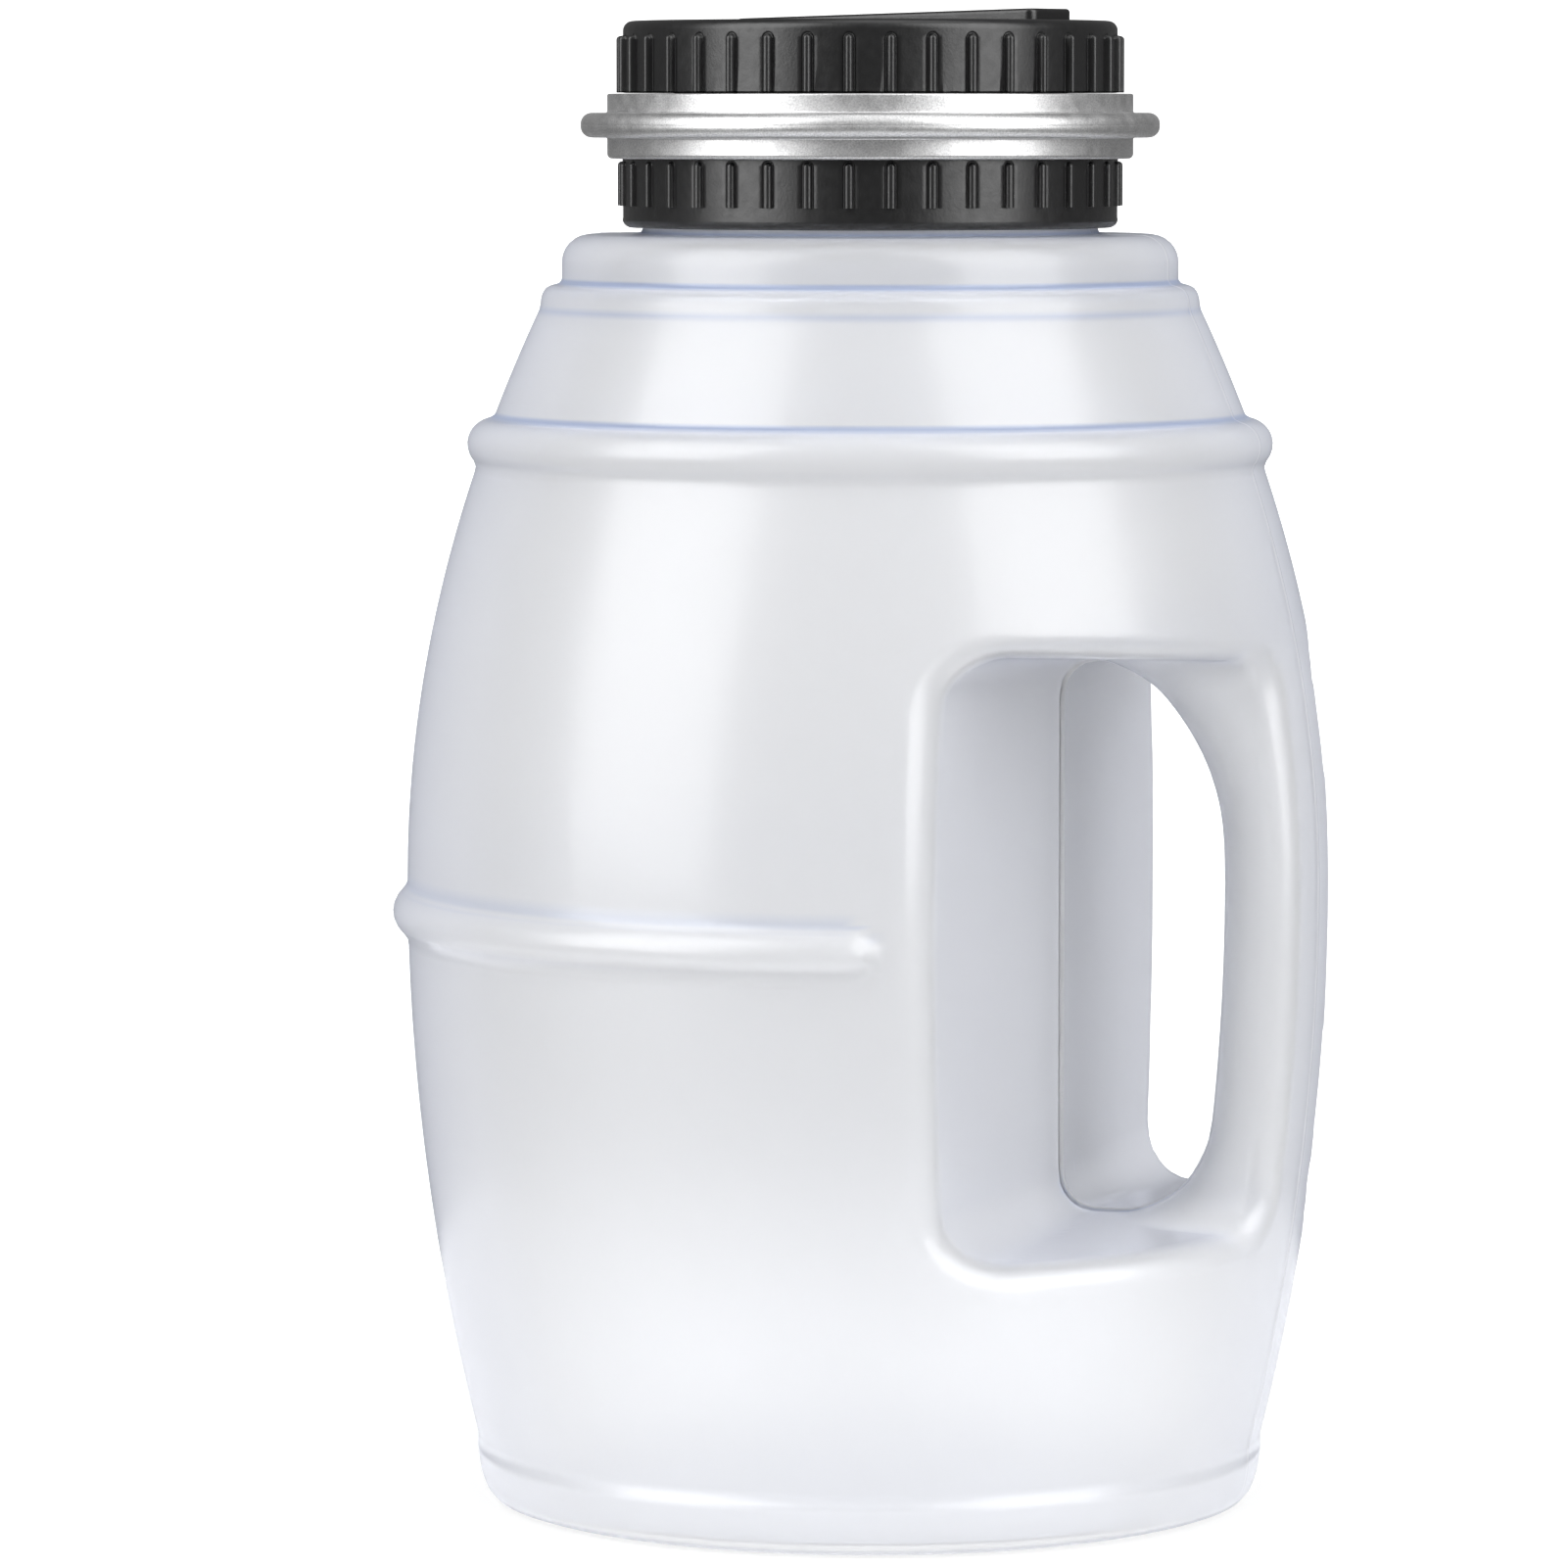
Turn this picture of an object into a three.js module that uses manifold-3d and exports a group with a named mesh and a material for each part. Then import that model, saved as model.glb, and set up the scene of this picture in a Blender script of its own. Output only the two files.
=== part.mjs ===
// Digital coin counting jar: a blow-moulded barrel jar with a through handle, closed by a screw lid that
// holds a coin counter with a display, two buttons, a coin lever and two AAA cells.
// Millimetres, +Z up. The origin is the centre of the jar's foot; the handle is on +X.
import * as THREE from "three";
import { mergeVertices } from "three/addons/utils/BufferGeometryUtils.js";
import Module from "manifold-3d";

const wasm = await Module();
wasm.setup();

// ---------------------------------------------------------------- driving dimensions
const WALL = 1.5; // jar wall
const BARREL = { radius: 73.4, height: 99, upper: 0.0026, lower: 0.0014 }; // widest point, parabola each way
const FOOT = { standRadius: 57.5, rimRadius: 61.8, rimHeight: 6.8, corner: 4.2 };
const BAND_MID = { z: 168, radius: 59.7, bead: 4 }; // full ring round the upper barrel
const BAND_TOP = { z: 190.8, radius: 49.6, bead: 2.3 }; // small ring at the shoulder
const BAND_LOW = { z: 94, radius: 71.7, bead: 4, openHalfAngle: 73 }; // open on the handle side
const SHOULDER = { radius: 48.7, corner: 4.4, z: 201 };
const NECK = { radius: 35.9, bore: 34.3, top: 218.5 };
const THREAD = { crest: 36.85, pitch: 4.2, turns: 1.25, z: 207.4, tooth: 2.0 };

const HOLE = { inner: 31.7, low: 47.2, high: 134.7, corner: 6 }; // handle hole in the mould's parting plane
const MOUTH = { inner: 29.6, low: 45.2, high: 138.8, corner: 9, depth: 66 }; // the hole at the barrel's skin
const GRIP = { inset: 1, halfWidth: 13.6, halfDepth: 13, flare: 12.5, flareFrom: 104, foot: 7, footTo: 62 };

const LID_TURN = THREE.MathUtils.degToRad(163.8); // where the screwed-down lid comes to rest
const COLLAR = { radius: 39.1, bore: 37.95, low: 203, ribLow: 205.5, high: 222 };
const FLANGE = { thick: 2, bore: 32.4 }; // the collar's inward flange, which seals on the jar's neck
const COLLAR_THREAD_CREST = 37.15;
const GASKET = { inner: 34.2, outer: 37.6 };
const RIB = { count: 38, width: 1.35, proud: 0.75, capProud: 1.05 };
const RING = { radius: 41.3, bore: 39.4, low: 212.9, high: 223.1, lipBore: 37.2 };
const RING_BEAD = { radius: 45.6, low: 216.2, high: 220.1 };
const CAP = { radius: 39, wall: 1.8, low: 223.2, high: 234.5, top: 2, ribTop: 232.2, corner: 1.5 };
const HOUSING = { radius: 33.7, plateLow: 217.8, plateHigh: 219.8, low: 204.7, wall: 1.2 };
const SLOT = { u: 6.35, w: -9.2, length: 35.5, width: 3.5 };
const CHUTE = { left: -12, right: 25, width: 3.9, high: 230.2 };
const PLATE = { length: 56.5, width: 12.2, thick: 1.9, thin: 0.6 };
const INSERT = { length: 50, width: 9.6, low: 230.6 }; // the slot plate's plug in the cap
const SCOOP = { u: 5.8, halfLength: 12, halfWidth: 5.4, depth: 3.4 };
const WINDOW = { w: 18.3, length: 41.7, width: 13.2, bevelLength: 45, bevelWidth: 15.5 };
const BUTTON = { u: 8.2, w: -27, radius: 4.85, hole: 5.1, flange: 5.9, top: 234.6 };
const LEVER = { u: 21.7, z: 228.4, arm: 15.6, width: 2.9, noseRadius: 1.75, noseRise: 2.6, pin: 0.8 };
const BATTERY = { radius: 5.2, length: 44, z: 212.2, rows: [2.2, 13.2], towardNub: 2 };
const BAY = { halfLength: 24.7, low: -3.5, high: 18.9 };
const BOARD = { radius: 33.6, low: 224.4, high: 226 };
const SCREWS = [[28.4, 8], [-28.4, 8], [20.3, -21.3], [-20.3, -21.3]];
const DOOR_SCREW = { w: 24.6, ear: 3.7 };
const LEADS = {
  radius: 0.5,
  positive: [[27.6, 2, 220.2], [27.9, 2, 221.4], [27.2, 1, 222.6], [27.4, 0, 224.1]],
  negative: [[27, 15, 220.2], [26.2, 15.4, 221.4], [26, 16.2, 222.6], [25, 16, 224.1]],
};
const GAP = 0.3;

// ---------------------------------------------------------------- geometry helpers
// A closed three.js geometry as a solid, facing out.
function solid(geometry) {
  const bare = geometry.clone();
  for (const name of Object.keys(bare.attributes)) if (name !== "position") bare.deleteAttribute(name);
  const merged = mergeVertices(bare, 1e-4);
  const faces = [];
  const index = merged.index.array;
  for (let i = 0; i < index.length; i += 3) {
    const [a, b, c] = index.slice(i, i + 3);
    if (a !== b && b !== c && c !== a) faces.push(a, b, c);
  }
  const vertProperties = new Float32Array(merged.attributes.position.array);
  const build = () =>
    new wasm.Manifold(new wasm.Mesh({ numProp: 3, vertProperties, triVerts: new Uint32Array(faces) }));
  const made = build();
  if (made.volume() > 0) return made;
  for (let i = 0; i < faces.length; i += 3) [faces[i + 1], faces[i + 2]] = [faces[i + 2], faces[i + 1]];
  return build();
}

function geometryOf(made) {
  const mesh = made.getMesh();
  const geometry = new THREE.BufferGeometry();
  geometry.setAttribute("position", new THREE.BufferAttribute(mesh.vertProperties, 3));
  geometry.setIndex(new THREE.BufferAttribute(mesh.triVerts, 1));
  const flat = geometry.toNonIndexed();
  flat.computeVertexNormals();
  return flat;
}

const join = (...solids) => solids.reduce((all, one) => all.add(one));
const cut = (body, ...tools) => tools.reduce((left, tool) => left.subtract(tool), body);

// Turns a profile of [radius, z] points round +Z.
function lathe(profile, segments = 48) {
  const points = profile.map(([r, z]) => new THREE.Vector2(r, z));
  return solid(new THREE.LatheGeometry(points, segments).rotateX(Math.PI / 2));
}

function tube(inner, outer, low, high, segments = 48) {
  return lathe([[inner, low], [outer, low], [outer, high], [inner, high], [inner, low]], segments);
}

function disc(radius, low, high, u = 0, w = 0, segments = 24) {
  const geometry = new THREE.CylinderGeometry(radius, radius, high - low, segments).rotateX(Math.PI / 2);
  return solid(geometry.translate(u, w, (low + high) / 2));
}

function box(u0, u1, w0, w1, z0, z1) {
  const geometry = new THREE.BoxGeometry(u1 - u0, w1 - w0, z1 - z0);
  return solid(geometry.translate((u0 + u1) / 2, (w0 + w1) / 2, (z0 + z1) / 2));
}

// A cylinder lying along w.
function rod(radius, w0, w1, u, z, segments = 20) {
  const geometry = new THREE.CylinderGeometry(radius, radius, w1 - w0, segments);
  return solid(geometry.translate(u, (w0 + w1) / 2, z));
}

function roundedRectangle(length, width, corner) {
  const [x, y] = [length / 2, width / 2];
  const shape = new THREE.Shape();
  shape.moveTo(-x + corner, -y);
  shape.lineTo(x - corner, -y).absarc(x - corner, -y + corner, corner, -Math.PI / 2, 0);
  shape.lineTo(x, y - corner).absarc(x - corner, y - corner, corner, 0, Math.PI / 2);
  shape.lineTo(-x + corner, y).absarc(-x + corner, y - corner, corner, Math.PI / 2, Math.PI);
  shape.lineTo(-x, -y + corner).absarc(-x + corner, -y + corner, corner, Math.PI, 1.5 * Math.PI);
  return shape;
}

function slab(shape, low, high, u = 0, w = 0, curveSegments = 4) {
  const geometry = new THREE.ExtrudeGeometry(shape, { depth: high - low, bevelEnabled: false, curveSegments });
  return solid(geometry.translate(u, w, low));
}

// Joins rings of points, each round a convex outline, into one closed body.
function loft(rings) {
  const count = rings[0].length;
  const centre = (ring) => ring.reduce((sum, p) => sum.add(p), new THREE.Vector3()).divideScalar(count);
  const points = [...rings.flat(), centre(rings[0]), centre(rings.at(-1))];
  const [start, end] = [points.length - 2, points.length - 1];
  const last = (rings.length - 1) * count;
  const faces = [];
  for (let i = 0; i < count; i++) {
    const next = (i + 1) % count;
    for (let row = 0; row < last; row += count) {
      faces.push(row + i, row + next, row + count + next, row + i, row + count + next, row + count + i);
    }
    faces.push(start, next, i, end, last + i, last + next);
  }
  const geometry = new THREE.BufferGeometry().setFromPoints(points);
  return solid(geometry.setIndex(faces));
}

// A point at a radius, an angle and a height.
const polar = (r, angle, z) => new THREE.Vector3(r * Math.cos(angle), r * Math.sin(angle), z);

const arc = (r, z, radius, from, to, steps) =>
  Array.from({ length: steps + 1 }, (_, i) => {
    const angle = THREE.MathUtils.degToRad(from + ((to - from) * i) / steps);
    return [r + radius * Math.cos(angle), z + radius * Math.sin(angle)];
  });

// A wire of round section along a coil round +Z, from the centre given.
function coil(u, w, z, radius, endRadius, pitch, turns, wire, stepsPerTurn = 12) {
  class Helix extends THREE.Curve {
    getPoint(t) {
      const angle = t * turns * 2 * Math.PI;
      const r = THREE.MathUtils.lerp(radius, endRadius, t);
      return new THREE.Vector3(r * Math.cos(angle), r * Math.sin(angle), t * turns * pitch);
    }
  }
  const section = new THREE.Shape().absarc(0, 0, wire, 0, 2 * Math.PI);
  const steps = Math.round(turns * stepsPerTurn);
  const options = { steps, curveSegments: 3, extrudePath: new Helix() };
  return new THREE.ExtrudeGeometry(section, options).translate(u, w, z);
}

function wire(points, radius, steps) {
  const path = new THREE.CatmullRomCurve3(points.map((p) => new THREE.Vector3(...p)));
  const section = new THREE.Shape().absarc(0, 0, radius, 0, 2 * Math.PI);
  return solid(new THREE.ExtrudeGeometry(section, { steps, curveSegments: 3, extrudePath: path }));
}

// A screw thread's tooth as a helical ridge from `root` to `crest`, with its ends run out.
function helicalRidge(root, crest, stepsPerTurn = 32) {
  const steps = Math.round(THREAD.turns * stepsPerTurn);
  const rings = [];
  for (let i = 0; i <= steps; i++) {
    const angle = (i / stepsPerTurn) * 2 * Math.PI;
    const height = THREAD.z + (i / stepsPerTurn) * THREAD.pitch;
    const grown = Math.min(1, Math.min(i, steps - i) / 4);
    const tip = THREE.MathUtils.lerp(root, crest, 0.15 + 0.85 * grown);
    const [wide, narrow] = [THREAD.tooth / 2, THREAD.tooth / 6];
    const section = [[root, -wide], [tip, -narrow], [tip, narrow], [root, wide]];
    rings.push(section.map(([r, z]) => polar(r, angle, height + z)));
  }
  return loft(rings);
}

// A ring whose outside carries grip ribs.
function ribbedRing(inner, radius, proud, low, high) {
  const foot = RIB.width / 2 / radius;
  const crest = foot * 0.55;
  const outline = [];
  for (let i = 0; i < RIB.count; i++) {
    const angle = ((i + 0.5) / RIB.count) * 2 * Math.PI;
    const rib = [[-foot, radius], [-crest, radius + proud], [crest, radius + proud], [foot, radius]];
    for (const [turn, r] of rib) {
      outline.push(new THREE.Vector2(r * Math.cos(angle + turn), r * Math.sin(angle + turn)));
    }
  }
  const shape = new THREE.Shape(outline);
  const hole = new THREE.Path();
  hole.absarc(0, 0, inner, 0, 2 * Math.PI, true);
  shape.holes.push(hole);
  return slab(shape, low, high, 0, 0, 20);
}

// ---------------------------------------------------------------- jar
function barrelRadius(z) {
  const curve = z > BARREL.height ? BARREL.upper : BARREL.lower;
  return BARREL.radius - curve * (z - BARREL.height) ** 2;
}

const barrelStretch = (low, high, steps, inset) =>
  Array.from({ length: steps + 1 }, (_, i) => {
    const z = low + ((high - low) * i) / steps;
    return [barrelRadius(z) - inset, z];
  });

function barrelOutside() {
  const { standRadius, rimRadius, rimHeight, corner } = FOOT;
  return lathe([
    [0, 0], [standRadius, 0],
    ...arc(rimRadius - corner, corner, corner, -80, 0, 3), [rimRadius, rimHeight],
    ...barrelStretch(rimHeight + 1.2, BAND_MID.z - 3.4, 10, 0),
    ...arc(BAND_MID.radius, BAND_MID.z, BAND_MID.bead, -45, 80, 4),
    ...barrelStretch(BAND_MID.z + BAND_MID.bead + 1, BAND_TOP.z - 2.6, 2, 0),
    ...arc(BAND_TOP.radius, BAND_TOP.z, BAND_TOP.bead, -30, 90, 3),
    ...arc(SHOULDER.radius - SHOULDER.corner, SHOULDER.z - SHOULDER.corner, SHOULDER.corner, 0, 78, 3),
    [NECK.radius + 2.2, SHOULDER.z + 0.3], [NECK.radius, SHOULDER.z + 1.6],
    [NECK.radius, NECK.top], [0, NECK.top],
  ]);
}

function barrelInside() {
  return lathe([
    [0, WALL], [FOOT.standRadius, WALL],
    ...arc(FOOT.rimRadius - FOOT.corner, FOOT.corner, FOOT.corner - WALL, -70, 0, 2),
    ...barrelStretch(FOOT.rimHeight + 2, SHOULDER.z - SHOULDER.corner - 7, 10, WALL),
    ...arc(SHOULDER.radius - SHOULDER.corner, SHOULDER.z - SHOULDER.corner, SHOULDER.corner - WALL, 0, 78, 2),
    [NECK.bore, SHOULDER.z - WALL], [NECK.bore, NECK.top + 5], [0, NECK.top + 5],
  ]);
}

// The open band: a bead that runs round the barrel and stops, with a round end, each side of the handle.
function lowBand(bead) {
  const half = THREE.MathUtils.degToRad(180 - BAND_LOW.openHalfAngle);
  const steps = 26;
  const sides = 8;
  const rings = Array.from({ length: steps + 1 }, (_, i) => {
    const angle = Math.PI - half + (2 * half * i) / steps;
    return Array.from({ length: sides }, (_, k) => {
      const turn = (k / sides) * 2 * Math.PI;
      return polar(BAND_LOW.radius + bead * Math.cos(turn), angle, BAND_LOW.z + bead * Math.sin(turn));
    });
  });
  const ends = [-1, 1].map((side) => {
    const ball = new THREE.SphereGeometry(bead, 10, 8);
    return solid(ball.translate(...polar(BAND_LOW.radius, Math.PI + side * half, BAND_LOW.z)));
  });
  return join(loft(rings), ...ends);
}

// The space of the handle hole, right through the jar along Y, tapering to the parting plane. `skin` grows it.
function handleHole(skin) {
  const far = 90;
  const rings = [-1, 0, 1].map((side) => {
    const reach = Math.abs(side) * (far / MOUTH.depth);
    const at = (key) => THREE.MathUtils.lerp(HOLE[key], MOUTH[key], reach);
    const [inner, low] = [at("inner") - skin, at("low") - skin];
    const [high, corner] = [at("high") + skin, at("corner") + skin];
    const outline = [
      ...arc(inner + corner, high - corner, corner, 90, 180, 4),
      ...arc(inner + corner, low + corner, corner, 180, 270, 4),
      [far, low], [far, high],
    ];
    return outline.map(([x, z]) => new THREE.Vector3(x, side * far, z));
  });
  return loft(rings);
}

// The handle's grip: a hollow bar, flush with the barrel's skin, that widens into the barrel at both ends.
function grip(skin) {
  const [low, high, steps, sides] = [38, 148, 14, 20];
  const rings = Array.from({ length: steps + 1 }, (_, i) => {
    const z = low + ((high - low) * i) / steps;
    const rise = THREE.MathUtils.clamp((z - GRIP.flareFrom) / (HOLE.high - GRIP.flareFrom), 0, 1.2);
    const fall = THREE.MathUtils.clamp((GRIP.footTo - z) / (GRIP.footTo - HOLE.low), 0, 1.2);
    const grown = GRIP.flare * rise ** 2.4 + GRIP.foot * fall ** 2;
    const [halfWidth, halfDepth] = [GRIP.halfWidth + grown / 2 - skin, GRIP.halfDepth - skin];
    const centre = barrelRadius(z) - GRIP.inset - grown / 2;
    return Array.from({ length: sides }, (_, k) => {
      const turn = (k / sides) * 2 * Math.PI;
      return new THREE.Vector3(centre + halfWidth * Math.cos(turn), halfDepth * Math.sin(turn), z);
    });
  });
  return loft(rings);
}

function jarBody() {
  const outside = cut(join(barrelOutside(), lowBand(BAND_LOW.bead)), cut(handleHole(0), grip(0)));
  const inside = cut(barrelInside(), cut(handleHole(WALL), grip(WALL)));
  return join(cut(outside, inside), helicalRidge(NECK.radius - 0.4, THREAD.crest));
}

// ---------------------------------------------------------------- lid shells, in the lid's own u, w, z frame
function threadedCollar() {
  const { radius, bore, low, ribLow, high } = COLLAR;
  const under = radius - 0.5;
  const flangeLow = high - FLANGE.thick;
  const ribHigh = RING.low - GAP;
  const body = lathe([
    [bore, low], [radius - 1, low], [radius, low + 1], [radius, ribLow], [under, ribLow], [under, ribHigh],
    [radius, ribHigh], [radius, high], [FLANGE.bore, high], [FLANGE.bore, flangeLow], [bore, flangeLow],
    [bore, low],
  ]);
  const ribs = ribbedRing(under - 0.4, radius, RIB.proud, ribLow, ribHigh);
  return join(body, ribs, helicalRidge(bore + 0.4, COLLAR_THREAD_CREST));
}

function silverRing() {
  const { radius, bore, low, high, lipBore } = RING;
  const nose = (RING_BEAD.high - RING_BEAD.low) / 2;
  const lip = high - 0.9;
  return lathe([
    [bore, low], [radius - 0.7, low], [radius, low + 0.7], [radius, RING_BEAD.low],
    ...arc(RING_BEAD.radius - nose, RING_BEAD.low + nose, nose, -90, 90, 6),
    [radius, RING_BEAD.high], [radius, high - 0.4], [radius - 0.4, high], [lipBore, high], [lipBore, lip],
    [bore, lip], [bore, low],
  ], 60);
}

function screwBoss([u, w]) {
  const foot = HOUSING.plateHigh + 0.4;
  const post = disc(2.6, foot, CAP.high - 1, u, w, 16);
  const shoulder = disc(3.3, BOARD.high + GAP, CAP.high - 1, u, w, 16);
  return cut(join(post, shoulder), disc(1.2, foot - 1, CAP.high - 4, u, w, 12));
}

function windowCutter() {
  const { w, length, width, bevelLength, bevelWidth } = WINDOW;
  const ring = (l, b, z) =>
    [[-l, -b], [l, -b], [l, b], [-l, b]].map(([x, y]) => new THREE.Vector3(x / 2, w + y / 2, z));
  const [low, high] = [CAP.high - CAP.top, CAP.high];
  return join(
    loft([ring(length, width, low - 1), ring(length, width, low + 0.4), ring(bevelLength, bevelWidth, high)]),
    loft([ring(bevelLength, bevelWidth, high - 1e-3), ring(bevelLength, bevelWidth, high + 1)]),
  );
}

function topCap() {
  const { radius, wall, low, high, top, ribTop, corner } = CAP;
  const [inner, under] = [radius - wall, radius - 0.6];
  const body = lathe([
    [inner, low], [under, low], [under, ribTop], [radius, ribTop], [radius, high - corner],
    ...arc(radius - corner, high - corner, corner, 0, 90, 3), [0, high], [0, high - top], [inner, high - top],
    [inner, low],
  ]);
  const ribs = ribbedRing(under - 0.4, radius, RIB.capProud, low, ribTop);
  const insert = roundedRectangle(INSERT.length, INSERT.width, 1);
  return cut(
    join(body, ribs, ...SCREWS.map(screwBoss)),
    windowCutter(),
    slab(insert, high - top - 1, high + 1, 0, SLOT.w),
    disc(BUTTON.hole, high - top - 1, high + 1, BUTTON.u, BUTTON.w, 32),
    disc(BUTTON.hole, high - top - 1, high + 1, -BUTTON.u, BUTTON.w, 32),
  );
}

// The raised slot plate: a wedge on the cap with a plug below, a coin slot and a thumb scoop.
function slotPlate() {
  const { length, width, thick, thin } = PLATE;
  const base = CAP.high + 0.02;
  const wedge = new THREE.Shape();
  const end = length / 2;
  wedge.moveTo(-end, 0).lineTo(end, 0).lineTo(end, thin - 0.3).lineTo(end - 0.4, thin);
  wedge.lineTo(-end + 0.6, thick).lineTo(-end, thick - 0.6).closePath();
  const raised = new THREE.ExtrudeGeometry(wedge, { depth: width, bevelEnabled: false }).rotateX(Math.PI / 2);
  const plate = solid(raised.translate(0, SLOT.w + width / 2, base));
  const plugOutline = roundedRectangle(INSERT.length - GAP, INSERT.width - GAP, 1);
  const plug = slab(plugOutline, INSERT.low, base + 0.3, 0, SLOT.w);
  const dish = new THREE.SphereGeometry(1, 24, 12);
  dish.scale(SCOOP.halfLength, SCOOP.halfWidth, SCOOP.depth + 0.5).translate(SCOOP.u, SLOT.w, base + 1.4);
  const slot = slab(roundedRectangle(SLOT.length, SLOT.width, 1), INSERT.low - 1, base + 3, SLOT.u, SLOT.w);
  const bulge = disc(2.9, INSERT.low - 1, base + 3, SCOOP.u, SLOT.w + SLOT.width / 2 - 2.35, 20);
  return cut(join(plate, plug), solid(dish), slot, bulge);
}

// ---------------------------------------------------------------- counter module inside the lid
function innerHousing() {
  const { radius, plateLow, plateHigh, low, wall } = HOUSING;
  const half = CHUTE.width / 2;
  const chuteWall = half + wall;
  const chute = box(
    CHUTE.left - wall, CHUTE.right + wall, SLOT.w - chuteWall, SLOT.w + chuteWall, low, CHUTE.high,
  );
  const [doorSeat, joined] = [low + 1.8, plateLow + 0.5];
  const bayEnd = BAY.halfLength + wall;
  const bay = box(-bayEnd, bayEnd, BAY.low - wall, BAY.high + wall, doorSeat, joined);
  const between = (BATTERY.rows[0] + BATTERY.rows[1]) / 2;
  const divider = box(-18, 18, between - 0.25, between + 0.25, low + 3.5, joined);
  const doorBoss = disc(3, doorSeat, joined, 0, DOOR_SCREW.w, 20);
  const body = join(disc(radius, plateLow, plateHigh, 0, 0, 48), chute, bay, doorBoss);
  const hollow = box(-BAY.halfLength, BAY.halfLength, BAY.low, BAY.high, low, plateLow);
  const passage = box(CHUTE.left, CHUTE.right, SLOT.w - half, SLOT.w + half, low - 1, CHUTE.high + 1);
  const screwHoles = SCREWS.map(([u, w]) => disc(1.5, plateLow - 1, plateHigh + 1, u, w, 12));
  const pinHole = rod(LEVER.pin + 0.05, SLOT.w - chuteWall - 1, SLOT.w + chuteWall + 1, LEVER.u, LEVER.z, 16);
  return join(
    cut(body, hollow, passage, pinHole, disc(1.4, low, plateLow, 0, DOOR_SCREW.w, 12), ...screwHoles),
    divider,
  );
}

function coinLever() {
  const { u, z, arm, width } = LEVER;
  const [w0, w1] = [SLOT.w - width / 2, SLOT.w + width / 2];
  const side = new THREE.Shape();
  side.moveTo(u, z - 1.7).lineTo(u, z + 1.6).lineTo(u - arm + 4.4, z + 1.6).lineTo(u - arm + 2.05, z + 0.4);
  side.lineTo(u - arm + 2.05, z - 1.1).closePath();
  const bar = new THREE.ExtrudeGeometry(side, { depth: width, bevelEnabled: false }).rotateX(Math.PI / 2);
  const eye = rod(2.1, w0, w1, u, z, 24);
  return cut(join(solid(bar.translate(0, w1, 0)), eye), rod(LEVER.pin + 0.15, w0 - 1, w1 + 1, u, z, 20));
}

// The black nose that a coin's rim pushes: two round lobes side by side.
function leverNose() {
  const { u, z, arm, width, noseRadius, noseRise } = LEVER;
  const [w0, w1] = [SLOT.w - width / 2, SLOT.w + width / 2];
  const left = u - arm;
  return join(
    rod(noseRadius, w0, w1, left, z + noseRise, 24),
    rod(1.3, w0, w1, left - 1.5, z + noseRise - 0.5, 20),
    box(left - 1, left + 1.75, w0, w1, z - 1.1, z + noseRise),
  );
}

function battery(w, flip) {
  const { radius, length } = BATTERY;
  const cell = new THREE.LatheGeometry(
    [[0, 0], [radius, 0], [radius, length - 1], [1.9, length - 1], [1.9, length], [0, length]]
      .map(([r, z]) => new THREE.Vector2(r, z)), 24);
  cell.translate(0, BATTERY.towardNub - length / 2, 0).rotateZ((flip ? 1 : -1) * Math.PI / 2);
  return solid(cell.translate(0, w, BATTERY.z));
}

function contactSpring(w, side) {
  const spring = coil(0, 0, 0, 3.6, 2.1, 1.1, 3, 0.28);
  spring.rotateY((-side * Math.PI) / 2);
  return solid(spring.translate(side * (BAY.halfLength - 0.75), w, BATTERY.z));
}

const contactPlate = (side, w0, w1) => {
  const outer = side * (BAY.halfLength - 0.05);
  const inner = side * (BAY.halfLength - 0.4);
  return box(Math.min(outer, inner), Math.max(outer, inner), w0, w1, BATTERY.z - 4, BATTERY.z + 4);
};

function batteryDoor() {
  const { low, wall } = HOUSING;
  const half = BAY.halfLength + wall;
  const outline = new THREE.Shape();
  const [w0, w1] = [BAY.low - wall, BAY.high + wall];
  outline.moveTo(-half, w0).lineTo(half, w0).lineTo(half, w1).lineTo(DOOR_SCREW.ear, w1);
  outline.lineTo(DOOR_SCREW.ear, DOOR_SCREW.w).absarc(0, DOOR_SCREW.w, DOOR_SCREW.ear, 0, Math.PI);
  outline.lineTo(-DOOR_SCREW.ear, w1).lineTo(-half, w1).closePath();
  const tongue = box(-half + 4, half - 4, BAY.low + 0.2, BAY.low + 1, low + 1.5, low + 2.6);
  return cut(
    join(slab(outline, low, low + 1.6, 0, 0, 10), tongue),
    disc(1.4, low - 1, low + 3, 0, DOOR_SCREW.w, 12),
    ...[-16, -13, -10].map((u) => box(u - 0.5, u + 0.5, 2, 14, low - 0.1, low + 0.5)),
  );
}

function screw(u, w, headLow, shank, headRadius = 2.1) {
  const head = disc(headRadius, headLow, headLow + 1.2, u, w, 16);
  const recess = join(
    box(u - 1.1, u + 1.1, w - 0.25, w + 0.25, headLow - 0.5, headLow + 0.6),
    box(u - 0.25, u + 0.25, w - 1.1, w + 1.1, headLow - 0.5, headLow + 0.6),
  );
  return cut(join(head, disc(1, headLow + 1, headLow + 1.2 + shank, u, w, 12)), recess);
}

function circuitBoard() {
  const { radius, low, high } = BOARD;
  return cut(
    disc(radius, low, high, 0, 0, 48),
    box(CHUTE.left - 2.2, 40, SLOT.w - 4.3, SLOT.w + 4.3, low - 1, high + 1),
    ...SCREWS.map(([u, w]) => disc(2.9, low - 1, high + 1, u, w, 16)),
  );
}

// A box centred on the display's middle line, from w0 to w1 off its centre.
const atWindow = (half, w0, w1, low, high) => box(-half, half, WINDOW.w + w0, WINDOW.w + w1, low, high);

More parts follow.
